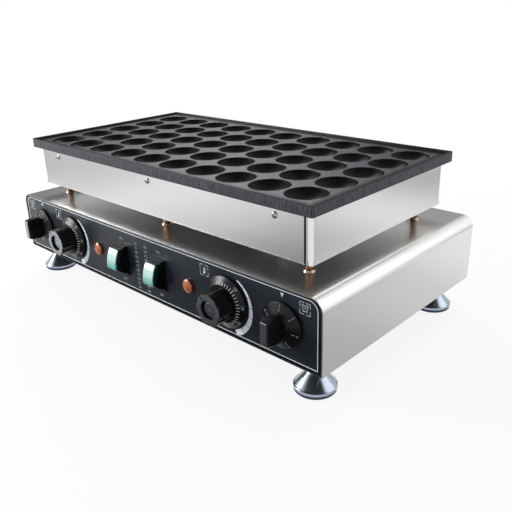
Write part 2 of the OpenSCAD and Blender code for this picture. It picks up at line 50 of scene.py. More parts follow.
# Mesh of an object with its modifiers applied.
def meshOf(holder):
    graph = bpy.context.evaluated_depsgraph_get()
    return bpy.data.meshes.new_from_object(holder.evaluated_get(graph), depsgraph=graph)


def dropHolder(holder):
    data = holder.data
    bpy.data.objects.remove(holder)
    if data.users == 0:
        (bpy.data.curves if isinstance(data, bpy.types.Curve) else bpy.data.meshes).remove(data)


# Skin over loops of points; points that coincide become one vertex.
def addLoft(bm, loops, closed=True, capStart=False, capEnd=False, look=0):
    known = {}

    def vertexAt(point):
        key = tuple(round(c, 4) for c in point)
        if key not in known:
            known[key] = bm.verts.new(point)
        return known[key]

    rows = [[vertexAt(p) for p in loop] for loop in loops]
    for near, far in zip(rows, rows[1:]):
        count = len(near)
        for i in range(count if closed else count - 1):
            j = (i + 1) % count
            corners = []
            for vert in (near[i], near[j], far[j], far[i]):
                if vert not in corners:
                    corners.append(vert)
            if len(corners) > 2 and not bm.faces.get(corners):
                bm.faces.new(corners).material_index = look
    for wanted, row, step in ((capStart, rows[0], -1), (capEnd, rows[-1], 1)):
        if wanted:
            corners = list(dict.fromkeys(row))[::step]
            bm.faces.new(corners).material_index = look


# Lathe placer: the axis stands upright at x, y.
def onTable(x, y):
    return lambda r, a, h: (x + r * math.cos(a), y + r * math.sin(a), h)


# Lathe placer: the axis points out of the front at x, z; h is in front of the base's edge.
def onFront(x, z):
    return lambda r, a, h: (x + r * math.cos(a), baseEdge - h, z + r * math.sin(a))


# Turns a profile of (radius, height) pairs; radius 0 closes an end.
def addLathe(bm, profile, place, count=72, look=0):
    loops = []
    for r, h in profile:
        loops.append([place(r, 2 * math.pi * i / count, h) for i in range(count)])
    addLoft(bm, loops, look=look)


# A path with each inner corner rounded by its radius.
def roundPath(points, radii, steps=6):
    path = [points[0]]
    for i in range(1, len(points) - 1):
        here, r = Vector(points[i]), radii[i] if isinstance(radii, (list, tuple)) else radii
        back, ahead = (Vector(points[i - 1]) - here), (Vector(points[i + 1]) - here)
        if r <= 0:
            path.append(points[i])
            continue
        reach = min(r, back.length * 0.49, ahead.length * 0.49)
        start, end = here + back.normalized() * reach, here + ahead.normalized() * reach
        for k in range(steps + 1):
            t = k / steps
            path.append(tuple(start * (1 - t) ** 2 + here * 2 * t * (1 - t) + end * t * t))
    path.append(points[-1])
    return path


# Round-cornered rectangle in plan, counterclockwise, with the same count for any size.
def rectLoop(w, d, r, z, nx, ny, nc):
    corners = ((1, -1, -90), (1, 1, 0), (-1, 1, 90), (-1, -1, 180))
    arcs = []
    for sx, sy, start in corners:
        cx, cy = sx * (w / 2 - r), sy * (d / 2 - r)
        arcs.append([(cx + r * math.cos(math.radians(start + 90 * k / nc)),
                      cy + r * math.sin(math.radians(start + 90 * k / nc)), z)
                     for k in range(nc + 1)])
    loop = []
    for i, arc in enumerate(arcs):
        loop += arc
        a, b = Vector(arc[-1]), Vector(arcs[(i + 1) % 4][0])
        n = ny if i in (0, 2) else nx
        loop += [tuple(a.lerp(b, k / n)) for k in range(1, n)]
    return loop


# Upright outline from bottom left over the top to bottom right, as (x, z).
def archPath(w, low, high, r, steps=24):
    path = [(-w / 2, low), (-w / 2, (low + high) / 2)]
    for k in range(steps + 1):
        a = math.radians(180 - 90 * k / steps)
        path.append((-w / 2 + r + r * math.cos(a), high - r + r * math.sin(a)))
    path.append((0, high))
    for k in range(steps + 1):
        a = math.radians(90 - 90 * k / steps)
        path.append((w / 2 - r + r * math.cos(a), high - r + r * math.sin(a)))
    return path + [(w / 2, (low + high) / 2), (w / 2, low)]


def addBox(bm, low, high, look=0):
    (x0, y0, z0), (x1, y1, z1) = low, high
    loops = [[(x0, y0, z), (x1, y0, z), (x1, y1, z), (x0, y1, z)] for z in (z0, z1)]
    addLoft(bm, loops, capStart=True, capEnd=True, look=look)


# Extrudes an outline of (reach in front of the base's edge, height) along X.
def addSideProfile(bm, x, w, outline, look=0):
    loops = [[(x + s * w / 2, baseEdge - reach, z) for reach, z in outline] for s in (-1, 1)]
    addLoft(bm, loops, capStart=True, capEnd=True, look=look)


# The mesh, in millimetres, with its sharp edges rounded.
def bevelled(mesh, width, segments=3, angle=30):
    holder = bpy.data.objects.new("bevelHolder", mesh)
    scene.collection.objects.link(holder)
    bevel = holder.modifiers.new("Bevel", "BEVEL")
    bevel.width, bevel.segments, bevel.limit_method = width, segments, "ANGLE"
    bevel.angle_limit, bevel.harden_normals = math.radians(angle), False
    bevel.use_clamp_overlap, bevel.miter_outer = True, "MITER_ARC"
    result = meshOf(holder)
    dropHolder(holder)
    return result


# The mesh less the cutter's solid, both in millimetres.
def cutFrom(mesh, cutter):
    holder = bpy.data.objects.new("cutHolder", mesh)
    tool = bpy.data.objects.new("cutTool", cutter)
    for o in (holder, tool):
        scene.collection.objects.link(o)
    cut = holder.modifiers.new("Cut", "BOOLEAN")
    cut.object, cut.operation, cut.solver = tool, "DIFFERENCE", "EXACT"
    result = meshOf(holder)
    dropHolder(holder)
    dropHolder(tool)
    return result


def toMesh(bm, name="part"):
    mesh = bpy.data.meshes.new(name)
    bm.to_mesh(mesh)
    bm.free()
    return mesh


# Large flat faces keep their own normals, so that mirrored lines stay straight on them.
def withFlatFaces(mesh):
    holder = bpy.data.objects.new("normalHolder", mesh)
    scene.collection.objects.link(holder)
    weigh = holder.modifiers.new("Weigh", "WEIGHTED_NORMAL")
    weigh.mode, weigh.weight, weigh.keep_sharp = "FACE_AREA", 50, True
    result = meshOf(holder)
    dropHolder(holder)
    return result


# Turns a bmesh or mesh in millimetres into a finished piece that rides on a body.
def finishPiece(name, source, looks, body, replaced=(), bevel=0.0, segments=3,
                sharp=32, outward=True, flats=True):
    if isinstance(source, bmesh.types.BMesh):
        if outward:
            faceOutwards(source)
        source = toMesh(source, name)
    if bevel:
        source = bevelled(source, bevel, segments)
    source.transform(Matrix.Scale(mm, 4))
    shades = [face.material_index for face in source.polygons]
    source.materials.clear()         # this sets every face back to the first material
    for look in looks:
        source.materials.append(look)
    source.polygons.foreach_set("material_index", [min(s, len(looks) - 1) for s in shades])
    source.polygons.foreach_set("use_smooth", [True] * len(source.polygons))
    source.set_sharp_from_angle(angle=math.radians(sharp))
    if flats:
        source = withFlatFaces(source)
    source.name = name
    piece = bpy.data.objects.new(name, source)
    scene.collection.objects.link(piece)
    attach(piece, body)
    if replaced:
        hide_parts(*replaced)
    return piece


# A merged copy of a CAD node's mesh in millimetres, with its flat faces joined.
def cadCopy(node, flat=1.0):
    bm = bmesh.new()
    bm.from_mesh(cadNodes[node].data)
    bmesh.ops.scale(bm, vec=(1000, 1000, 1000), verts=bm.verts[:])
    bmesh.ops.remove_doubles(bm, verts=bm.verts[:], dist=0.002)
    bmesh.ops.dissolve_limit(bm, angle_limit=math.radians(flat), verts=bm.verts[:],
                             edges=bm.edges[:])
    return toMesh(bm)


# Geometry Nodes helpers

def newTree(name, inputs):
    tree = bpy.data.node_groups.new(name, "GeometryNodeTree")
    tree.interface.new_socket("Geometry", in_out="INPUT", socket_type="NodeSocketGeometry")
    tree.interface.new_socket("Geometry", in_out="OUTPUT", socket_type="NodeSocketGeometry")
    for label, kind in inputs:
        tree.interface.new_socket(label, in_out="INPUT", socket_type=kind)
    return tree, tree.nodes.new("NodeGroupInput"), tree.nodes.new("NodeGroupOutput")


# Runs a tree on a mesh and returns the plain mesh that it makes.
def growTree(tree, mesh, values):
    holder = bpy.data.objects.new("treeHolder", mesh)
    scene.collection.objects.link(holder)
    modifier = holder.modifiers.new("Nodes", "NODES")
    modifier.node_group = tree
    for item in tree.interface.items_tree:
        if item.item_type == "SOCKET" and item.in_out == "INPUT" and item.name in values:
            modifier[item.identifier] = values[item.name]
    result = meshOf(holder)
    holder.modifiers.remove(modifier)
    dropHolder(holder)
    return result


def multiply(tree, a, b):
    node = tree.nodes.new("ShaderNodeMath")
    node.operation = "MULTIPLY"
    for socket, value in zip(node.inputs, (a, b)):
        if isinstance(value, (int, float)):
            socket.default_value = value
        else:
            tree.links.new(value, socket)
    return node.outputs[0]


def lessOne(tree, count):
    node = tree.nodes.new("ShaderNodeMath")
    node.operation = "SUBTRACT"
    node.inputs[1].default_value = 1
    tree.links.new(count, node.inputs[0])
    return node.outputs[0]


# Ends a tree: the instances become real, in the finish that the tree was given.
def endTree(tree, geometry, entry, out):
    real = tree.nodes.new("GeometryNodeRealizeInstances")
    paint = tree.nodes.new("GeometryNodeSetMaterial")
    tree.links.new(geometry, real.inputs[0])
    tree.links.new(real.outputs[0], paint.inputs["Geometry"])
    tree.links.new(entry.outputs["Finish"], paint.inputs["Material"])
    tree.links.new(paint.outputs[0], out.inputs[0])
    return tree


# Sets a part on a straight grid: wells, posts and collars all repeat this way.
def buildGridTree():
    tree, entry, out = newTree("setOnGrid", [
        ("Columns", "NodeSocketInt"), ("Rows", "NodeSocketInt"),
        ("Column Pitch", "NodeSocketFloat"), ("Row Pitch", "NodeSocketFloat"),
        ("Finish", "NodeSocketMaterial")])
    grid = tree.nodes.new("GeometryNodeMeshGrid")
    for count, pitch, size, verts in (("Columns", "Column Pitch", "Size X", "Vertices X"),
                                      ("Rows", "Row Pitch", "Size Y", "Vertices Y")):
        whole = multiply(tree, lessOne(tree, entry.outputs[count]), entry.outputs[pitch])
        tree.links.new(whole, grid.inputs[size])
        tree.links.new(entry.outputs[count], grid.inputs[verts])
    setOn = tree.nodes.new("GeometryNodeInstanceOnPoints")
    tree.links.new(grid.outputs["Mesh"], setOn.inputs["Points"])
    tree.links.new(entry.outputs["Geometry"], setOn.inputs["Instance"])
    return endTree(tree, setOn.outputs[0], entry, out)


# A row of screws on the front cover, and the same row turned to the back.
def buildScrewTree():
    tree, entry, out = newTree("screwRows", [
        ("Count", "NodeSocketInt"), ("Spacing", "NodeSocketFloat"),
        ("Reach", "NodeSocketFloat"), ("Height", "NodeSocketFloat"),
        ("Finish", "NodeSocketMaterial")])
    line = tree.nodes.new("GeometryNodeMeshLine")
    line.mode = "OFFSET"
    whole = multiply(tree, lessOne(tree, entry.outputs["Count"]), entry.outputs["Spacing"])
    half = multiply(tree, whole, -0.5)
    start = tree.nodes.new("ShaderNodeCombineXYZ")
    tree.links.new(half, start.inputs[0])
    tree.links.new(multiply(tree, entry.outputs["Reach"], -1.0), start.inputs[1])
    tree.links.new(entry.outputs["Height"], start.inputs[2])
    step = tree.nodes.new("ShaderNodeCombineXYZ")
    tree.links.new(entry.outputs["Spacing"], step.inputs[0])
    tree.links.new(entry.outputs["Count"], line.inputs["Count"])
    tree.links.new(start.outputs[0], line.inputs["Start Location"])
    tree.links.new(step.outputs[0], line.inputs["Offset"])
    setOn = tree.nodes.new("GeometryNodeInstanceOnPoints")
    tree.links.new(line.outputs[0], setOn.inputs["Points"])
    tree.links.new(entry.outputs["Geometry"], setOn.inputs["Instance"])
    turned = tree.nodes.new("GeometryNodeTransform")
    turned.inputs["Rotation"].default_value = (0, 0, math.pi)
    tree.links.new(setOn.outputs[0], turned.inputs["Geometry"])
    both = tree.nodes.new("GeometryNodeJoinGeometry")
    tree.links.new(setOn.outputs[0], both.inputs[0])
    tree.links.new(turned.outputs[0], both.inputs[0])
    return endTree(tree, both.outputs[0], entry, out)


# Materials

def newGroup(name, inputs, outputs):
    group = bpy.data.node_groups.new(name, "ShaderNodeTree")
    for label, kind, value in inputs:
        socket = group.interface.new_socket(label, in_out="INPUT", socket_type=kind)
        socket.default_value = value
    for label, kind in outputs:
        group.interface.new_socket(label, in_out="OUTPUT", socket_type=kind)
    return group, group.nodes.new("NodeGroupInput"), group.nodes.new("NodeGroupOutput")


# Stretched noise on Object coordinates: brushed lines, casting skin or moulded texture.
def buildGrainGroup():
    group, entry, out = newGroup("surfaceGrain", [
        ("Stretch", "NodeSocketVector", (100, 100, 100)), ("Detail", "NodeSocketFloat", 3.0),
        ("Low", "NodeSocketFloat", 0.0), ("High", "NodeSocketFloat", 1.0)],
        [("Value", "NodeSocketFloat"), ("Height", "NodeSocketFloat")])
    spot = group.nodes.new("ShaderNodeTexCoord")
    scale = group.nodes.new("ShaderNodeVectorMath")
    scale.operation = "MULTIPLY"
    noise = group.nodes.new("ShaderNodeTexNoise")
    noise.inputs["Scale"].default_value = 1.0
    noise.inputs["Roughness"].default_value = 0.55
    ranged = group.nodes.new("ShaderNodeMapRange")
    ranged.inputs["From Min"].default_value = 0.3
    ranged.inputs["From Max"].default_value = 0.7
    group.links.new(spot.outputs["Object"], scale.inputs[0])
    group.links.new(entry.outputs["Stretch"], scale.inputs[1])
    group.links.new(scale.outputs[0], noise.inputs["Vector"])
    group.links.new(entry.outputs["Detail"], noise.inputs["Detail"])
    group.links.new(noise.outputs["Fac"], ranged.inputs["Value"])
    group.links.new(entry.outputs["Low"], ranged.inputs["To Min"])
    group.links.new(entry.outputs["High"], ranged.inputs["To Max"])
    group.links.new(ranged.outputs[0], out.inputs["Value"])
    group.links.new(noise.outputs["Fac"], out.inputs["Height"])
    return group


grainGroup = buildGrainGroup()


# Colours at places along one axis of the object, from one reach to another in metres.
def rampAlong(tree, axis, start, end, stops):
    spot = tree.nodes.new("ShaderNodeTexCoord")
    split = tree.nodes.new("ShaderNodeSeparateXYZ")
    share = tree.nodes.new("ShaderNodeMapRange")
    share.inputs["From Min"].default_value = start
    share.inputs["From Max"].default_value = end
    ramp = tree.nodes.new("ShaderNodeValToRGB")
    ramp.color_ramp.interpolation = "EASE"
    while len(ramp.color_ramp.elements) < len(stops):
        ramp.color_ramp.elements.new(0.5)
    for element, (at, color) in zip(ramp.color_ramp.elements, stops):
        element.position, element.color = at, (*color, 1)
    tree.links.new(spot.outputs["Object"], split.inputs[0])
    tree.links.new(split.outputs[axis], share.inputs["Value"])
    tree.links.new(share.outputs[0], ramp.inputs[0])
    return ramp.outputs[0]


# A material with its shader, and short ways to feed the shader from grain.
class Look:

    def __init__(self, name, color, roughness, metallic=0.0, **sockets):
        self.material = bpy.data.materials.new(name)
        self.material.use_nodes = True
        self.tree = self.material.node_tree
        self.shader = self.tree.nodes["Principled BSDF"]
        self.shader.inputs["Base Color"].default_value = (*color, 1)
        self.shader.inputs["Roughness"].default_value = roughness
        self.shader.inputs["Metallic"].default_value = metallic
        for label, value in sockets.items():
            self.shader.inputs[label.replace("_", " ")].default_value = value
        self.bump = None

    def grain(self, stretch, low=0.0, high=1.0, detail=3.0):
        node = self.tree.nodes.new("ShaderNodeGroup")
        node.node_tree = grainGroup
        node.inputs["Stretch"].default_value = stretch
        node.inputs["Detail"].default_value = detail
        node.inputs["Low"].default_value = low
        node.inputs["High"].default_value = high
        return node

    def roughGrain(self, stretch, low, high, detail=3.0):
        node = self.grain(stretch, low, high, detail)
        self.tree.links.new(node.outputs["Value"], self.shader.inputs["Roughness"])
        return self

    def colorGrain(self, stretch, first, second, detail=3.0):
        node = self.grain(stretch, 0, 1, detail)
        mix = self.tree.nodes.new("ShaderNodeMix")
        mix.data_type = "RGBA"
        mix.inputs[6].default_value = (*first, 1)
        mix.inputs[7].default_value = (*second, 1)
        self.tree.links.new(node.outputs["Value"], mix.inputs[0])
        self.tree.links.new(mix.outputs[2], self.shader.inputs["Base Color"])
        return self

    def fadeAlong(self, axis, start, end, stops):
        color = rampAlong(self.tree, axis, start, end, stops)
        self.tree.links.new(color, self.shader.inputs["Base Color"])
        return self

    def bumpGrain(self, stretch, strength, distance, detail=3.0):
        node = self.grain(stretch, 0, 1, detail)
        bump = self.tree.nodes.new("ShaderNodeBump")
        bump.inputs["Strength"].default_value = strength
        bump.inputs["Distance"].default_value = distance
        self.tree.links.new(node.outputs["Height"], bump.inputs["Height"])
        if self.bump:
            self.tree.links.new(self.bump.outputs[0], bump.inputs["Normal"])
        self.tree.links.new(bump.outputs[0], self.shader.inputs["Normal"])
        self.bump = bump
        return self


looks = {}
looks["coating"] = (Look("griddleCoating", (0.02, 0.02, 0.022), 0.36, Specular_IOR_Level=0.5)
                    .colorGrain((160, 160, 160), (0.016, 0.016, 0.018), (0.025, 0.025, 0.028))
                    .roughGrain((900, 900, 900), 0.31, 0.41)
                    .bumpGrain((1300, 1300, 1300), 0.08, 0.0002))
# Darker coating inside the wells: painted shade in the recesses, a darker copy of the web's
# coating.
looks["well"] = (Look("wellCoatingAndShade", (0.008, 0.007, 0.007), 0.36, Specular_IOR_Level=0.05)
                 .colorGrain((120, 120, 120), (0.006, 0.0055, 0.0055), (0.011, 0.01, 0.01))
                 .roughGrain((700, 700, 700), 0.32, 0.42)
                 .bumpGrain((1300, 1300, 1300), 0.05, 0.0002))
# Darker coating on the rim top, its inner wall and the plate's underside: painted shade, a darker
# copy of the web's coating.
looks["lip"] = (Look("lipCoatingAndShade", (0.01, 0.01, 0.011), 0.34, Specular_IOR_Level=0.15)
                .colorGrain((160, 160, 160), (0.008, 0.008, 0.009), (0.013, 0.013, 0.014))
                .roughGrain((900, 900, 900), 0.3, 0.4)
                .bumpGrain((1300, 1300, 1300), 0.08, 0.0002))
looks["rimSide"] = (Look("griddleSide", (0.045, 0.048, 0.055), 0.42, 0.4, Specular_IOR_Level=0.2)
                    .colorGrain((1300, 1300, 90), (0.006, 0.007, 0.009), (0.105, 0.11, 0.125), 4)
                    .roughGrain((1300, 1300, 90), 0.34, 0.46)
                    .bumpGrain((1300, 1300, 120), 0.3, 0.0002))
looks["housing"] = (Look("housingSteel", (0.78, 0.78, 0.775), 0.24, 1.0)
                    .colorGrain((2, 2, 2), (0.77, 0.77, 0.765), (0.795, 0.795, 0.79), 1)
                    .roughGrain((6, 6, 500), 0.21, 0.26))
looks["base"] = (Look("baseSteel", (0.82, 0.812, 0.8), 0.28, 1.0)
                 .colorGrain((3, 3, 3), (0.81, 0.802, 0.79), (0.83, 0.822, 0.81), 1)
                 .roughGrain((700, 4, 700), 0.276, 0.284))
# Darker, rougher steel for the sheet's cut edges: partly a real cut edge, partly painted shade.
looks["cutEdgeAndShade"] = (Look("cutEdgeAndShade", (0.28, 0.28, 0.28), 0.5, 1.0)
                    .colorGrain((200, 200, 200), (0.25, 0.25, 0.25), (0.31, 0.31, 0.31))
                    .roughGrain((400, 400, 400), 0.45, 0.6))
looks["sheet"] = (Look("backSheet", (0.6, 0.6, 0.59), 0.32, 1.0)
                  .colorGrain((4, 4, 4), (0.55, 0.55, 0.54), (0.64, 0.64, 0.63), 2)
                  .roughGrain((10, 900, 900), 0.26, 0.38))
looks["panel"] = (Look("panelBlack", (0.006, 0.006, 0.007), 0.35, Specular_IOR_Level=0.25)
                  .roughGrain((400, 400, 400), 0.3, 0.42)
                  .bumpGrain((1500, 1500, 1500), 0.05, 0.0001))
looks["film"] = (Look("panelFilm", (0.016, 0.019, 0.026), 0.3, Specular_IOR_Level=0.45)
                 .colorGrain((50, 50, 50), (0.013, 0.016, 0.022), (0.018, 0.022, 0.03), 2)
                 .roughGrain((300, 300, 300), 0.28, 0.32))
looks["ink"] = (Look("whiteInk", (0.72, 0.76, 0.82), 0.45)
                .colorGrain((300, 300, 300), (0.66, 0.7, 0.76), (0.76, 0.8, 0.86)))
looks["fineInk"] = (Look("fineInk", (0.38, 0.41, 0.46), 0.45)
                    .colorGrain((300, 300, 300), (0.34, 0.37, 0.42), (0.42, 0.45, 0.5)))
# Black strips in the seams: painted shade in the seam gaps.
looks["seamShadeLook"] = (Look("blackSeamShade", (0.004, 0.004, 0.004), 0.6, Specular_IOR_Level=0.1)
                 .roughGrain((300, 300, 300), 0.5, 0.7))
looks["knob"] = (Look("knobBlack", (0.005, 0.005, 0.006), 0.28, Specular_IOR_Level=0.22)
                 .roughGrain((500, 500, 500), 0.24, 0.32)
                 .bumpGrain((1600, 1600, 1600), 0.02, 0.0001))
looks["knobFace"] = (Look("knobFace", (0.4, 0.41, 0.43), 0.3, 1.0)
                     .colorGrain((60, 60, 60), (0.34, 0.35, 0.37), (0.45, 0.46, 0.48))
                     .roughGrain((900, 900, 900), 0.26, 0.36))
looks["button"] = (Look("knobButton", (0.46, 0.52, 0.6), 0.28, 1.0)
                   .colorGrain((300, 300, 300), (0.4, 0.46, 0.54), (0.5, 0.56, 0.64)))
looks["switch"] = (Look("switchBlack", (0.003, 0.003, 0.0035), 0.3, Specular_IOR_Level=0.2)
                   .roughGrain((300, 300, 300), 0.25, 0.35))
# Mint rocker face: the mint is its own, the fade from dark green at the bottom to pale at the top
# is painted shade below and painted sheen above.
looks["rockerFaceWithPaintedShade"] = (Look("rockerFaceWithPaintedShade", (0.4, 0.72, 0.64), 0.2, Coat_Weight=0.3)
                       .roughGrain((400, 400, 400), 0.16, 0.26)
                       .fadeAlong(2, 0.071, 0.099, ((0.0, (0.06, 0.3, 0.25)),
                                                    (0.25, (0.22, 0.5, 0.45)),
                                                    (0.6, (0.5, 0.74, 0.69)),
                                                    (1.0, (0.6, 0.8, 0.76)))))
# Dark green for the rocker lens's sides: painted shade, a darker copy of the mint lens.
looks["rockerSidePaintedShade"] = (Look("rockerSidePaintedShade", (0.004, 0.03, 0.027), 0.15, Specular_IOR_Level=0.3)
                       .roughGrain((300, 300, 300), 0.12, 0.2))
looks["lens"] = (Look("orangeLens", (0.42, 0.13, 0.04), 0.2, Coat_Weight=0.3)
                 .colorGrain((160, 160, 160), (0.3, 0.09, 0.035), (0.52, 0.16, 0.05))
                 .roughGrain((300, 300, 300), 0.16, 0.26))
# Darker orange for the lens's outer ring: a darker rim with painted shade at the dome's edge.
looks["lensRim"] = (Look("orangeLensRimAndShade", (0.16, 0.035, 0.01), 0.2)
                    .roughGrain((300, 300, 300), 0.15, 0.25))
looks["brass"] = (Look("turnedBrass", (0.16, 0.08, 0.04), 0.24, 1.0)
                  .colorGrain((90, 90, 900), (0.12, 0.055, 0.028), (0.21, 0.11, 0.055))
                  .roughGrain((60, 60, 1500), 0.16, 0.34))
looks["collar"] = (Look("turnedCollar", (0.34, 0.27, 0.2), 0.2, 1.0)
                   .colorGrain((90, 90, 900), (0.28, 0.21, 0.15), (0.42, 0.35, 0.27))
                   .roughGrain((60, 60, 1500), 0.14, 0.26))
looks["screw"] = (Look("screwSteel", (0.36, 0.36, 0.37), 0.26, 1.0)
                  .colorGrain((500, 500, 500), (0.28, 0.28, 0.29), (0.44, 0.44, 0.45))
                  .roughGrain((300, 300, 300), 0.18, 0.34))
# Black bottom plate: partly a black coat, partly painted shade for the dark under the machine seen
# in reflections.
looks["underside"] = (Look("undersideBlackAndShade", (0.02, 0.021, 0.023), 0.45)
                      .colorGrain((40, 40, 40), (0.014, 0.015, 0.017), (0.028, 0.029, 0.032))
                      .roughGrain((500, 500, 500), 0.38, 0.52))
# Chrome darkened and tinted blue: a painted reflection of a dark navy surround.
looks["chrome"] = (Look("footChromeWithPaintedTint", (0.36, 0.41, 0.48), 0.17, 1.0)
                   .colorGrain((25, 25, 25), (0.33, 0.38, 0.45), (0.39, 0.44, 0.51), 1)
                   .roughGrain((60, 60, 400), 0.14, 0.21))
looks["rubber"] = (Look("footRubber", (0.012, 0.024, 0.07), 0.4)
                   .roughGrain((300, 300, 300), 0.32, 0.5)
                   .bumpGrain((900, 900, 900), 0.1, 0.0002))
looks["nylon"] = (Look("glandNylon", (0.015, 0.015, 0.017), 0.45)
                  .roughGrain((300, 300, 300), 0.38, 0.52)
                  .bumpGrain((1200, 1200, 1200), 0.08, 0.0002))
looks["casePlastic"] = (Look("caseMoulding", (0.55, 0.53, 0.46), 0.5)
                        .colorGrain((60, 60, 60), (0.5, 0.48, 0.42), (0.6, 0.58, 0.52))
                        .roughGrain((400, 400, 400), 0.42, 0.58))
looks["sheath"] = (Look("heaterSheath", (0.16, 0.14, 0.13), 0.45, 0.8)
                   .colorGrain((200, 200, 200), (0.1, 0.09, 0.085), (0.22, 0.19, 0.17)))
looks["fibre"] = (Look("pressedFibre", (0.72, 0.69, 0.6), 0.9)
                  .colorGrain((300, 300, 300), (0.62, 0.59, 0.5), (0.8, 0.77, 0.69), 5)
                  .bumpGrain((700, 700, 700), 0.4, 0.0005))
looks["sleeve"] = (Look("wovenSleeve", (0.6, 0.56, 0.48), 0.8)
                   .colorGrain((900, 900, 900), (0.45, 0.42, 0.35), (0.7, 0.66, 0.58)))
looks["copper"] = (Look("drawnCopper", (0.55, 0.28, 0.15), 0.3, 1.0)
                   .colorGrain((300, 300, 300), (0.4, 0.2, 0.11), (0.62, 0.34, 0.19)))
gridTree = buildGridTree()
screwTree = buildScrewTree()


def mat(*names):
    return [looks[n].material for n in names]


print("materials ready")

# Griddle plate: one tile with its well, set on the grid, inside a rim with a lip

plateShape = {"cols": 10, "rows": 5, "pitch": 51.5, "wellR": 23.5, "wallR": 22.7, "depth": 11.0,
              "wallH": 2.5, "rimRound": 0.9, "webTop": 208.7, "webUnder": 202.7, "boss": 193.2,
              "width": 540.0, "deep": 283.0, "top": 212.0, "bottom": 199.0, "lip": 3.0,
              "perSide": 16, "bowlSteps": 8}


def buildTile(shape):
    half, n = shape["pitch"] / 2, shape["perSide"]
    top = shape["webTop"]
    square = []
    for sx, sy, dx, dy in ((half, -half, 0, 1), (half, half, -1, 0), (-half, half, 0, -1),
                           (-half, -half, 1, 0)):
        square += [(sx + dx * 2 * half * k / n, sy + dy * 2 * half * k / n) for k in range(n)]
    angles = [math.atan2(y, x) for x, y in square]

    def ring(r, z):
        return [(r * math.cos(a), r * math.sin(a), z) for a in angles]

    loops = [[(x, y, top) for x, y in square]]
    r, edge = shape["wellR"], shape["rimRound"]
    for k in range(5):
        a = math.radians(90 - k * 18)
        loops.append(ring(r + edge - edge * math.cos(a), top - edge + edge * math.sin(a)))
    bottom, wallZ = top - shape["depth"], top - shape["wallH"]
    bowlDepth = wallZ - bottom
    bowlR = (shape["wallR"] ** 2 + bowlDepth ** 2) / (2 * bowlDepth)
    reach = math.asin(shape["wallR"] / bowlR)
    loops.append(ring(shape["wallR"] + 0.12, wallZ + 0.5))
    for k in range(shape["bowlSteps"], -1, -1):
        a = reach * k / shape["bowlSteps"]
        loops.append(ring(bowlR * math.sin(a), bottom + bowlR * (1 - math.cos(a))))
    bm = bmesh.new()
    addLoft(bm, loops)
    under = [[(x, y, shape["webUnder"]) for x, y in square], ring(24, shape["webUnder"]),
             ring(16, shape["boss"]), ring(0, shape["boss"])]
    addLoft(bm, [loop[::-1] for loop in under])
    bmesh.ops.scale(bm, vec=(mm, mm, mm), verts=bm.verts[:])
    return toMesh(bm, "wellTile")


def buildPlate(shape):
    field = growTree(gridTree, buildTile(shape), {
        "Columns": shape["cols"], "Rows": shape["rows"], "Column Pitch": shape["pitch"] * mm,
        "Row Pitch": shape["pitch"] * mm, "Finish": looks["coating"].material})
    field.transform(Matrix.Scale(1 / mm, 4))
    bm = bmesh.new()
    bm.from_mesh(field)
    bpy.data.meshes.remove(field)
    # The wells take the darker look, which paints shade into them.
    for face in bm.faces:            # everything below the cooking surface has the wells' look
        if face.calc_center_median().z < shape["webTop"] - 0.35:
            face.material_index = 2
    nx, ny = shape["cols"] * shape["perSide"], shape["rows"] * shape["perSide"]
    fieldW, fieldD = shape["cols"] * shape["pitch"], shape["rows"] * shape["pitch"]
    w, d, top, low = shape["width"], shape["deep"], shape["top"], shape["bottom"]
    innerW, innerD = w - 2 * shape["lip"], d - 2 * shape["lip"]
    web = shape["webTop"]
    steps = [(fieldW, fieldD, 0, web), (innerW - 1.8, innerD - 1.8, 0.9, web),
             (innerW - 0.8, innerD - 0.8, 1.2, web + 0.2),
             (innerW - 0.2, innerD - 0.2, 1.5, web + 0.7),
             (innerW, innerD, 1.5, web + 1.3), (innerW, innerD, 1.5, top - 0.7),
             (innerW + 0.4, innerD + 0.4, 1.7, top - 0.2), (innerW + 1.3, innerD + 1.3, 2, top),
             (w - 1.5, d - 1.5, 2, top), (w - 0.45, d - 0.45, 2.1, top - 0.22)]
    sideSteps = [(w, d, 2.2, top - 0.8), (w, d, 2.2, low + 0.6)]
    underSteps = [(w - 0.4, d - 0.4, 2, low + 0.15), (w - 1.4, d - 1.4, 1.8, low),
                  (fieldW, fieldD, 0, low), (fieldW, fieldD, 0, shape["webUnder"])]
    # Look 3 is the darker lip coating, painted shade on the rim and underside.
    groups = ((steps + sideSteps[:1], 3), (sideSteps, 1), (sideSteps[1:] + underSteps, 3))
    for group, look in groups:
        loops = [rectLoop(a, b, r, z, nx, ny, 6) for a, b, r, z in group]
        addLoft(bm, loops, look=look)
    bmesh.ops.remove_doubles(bm, verts=bm.verts[:], dist=0.005)
    openEdges = sum(1 for e in bm.edges if not e.is_manifold)
    print("griddle plate:", len(bm.faces), "faces,", openEdges, "open edges")
    return bm


finishPiece("griddlePlate", buildPlate(plateShape), mat("coating", "rimSide", "well", "lip"),
            "chassis", ["griddle_plate"], sharp=50)

# Heater housing: two side sheets with upright bends, a floor, and two covers

housingShape = {"width": 525.0, "deep": 267.0, "low": 144.0, "high": 199.0, "bend": 7.0,
                "relief": 15.0, "sheet": 1.2, "seam": 1.6, "shift": 0.9, "flange": 16.0}


# Radius of the upright bend, which runs out towards the bottom edge.
def bendAt(shape, z):
    rise = min(1.0, (z - shape["low"]) / shape["relief"])
    return 1.3 + (shape["bend"] - 1.3) * math.sqrt(max(0.0, 1 - (1 - rise) ** 2))


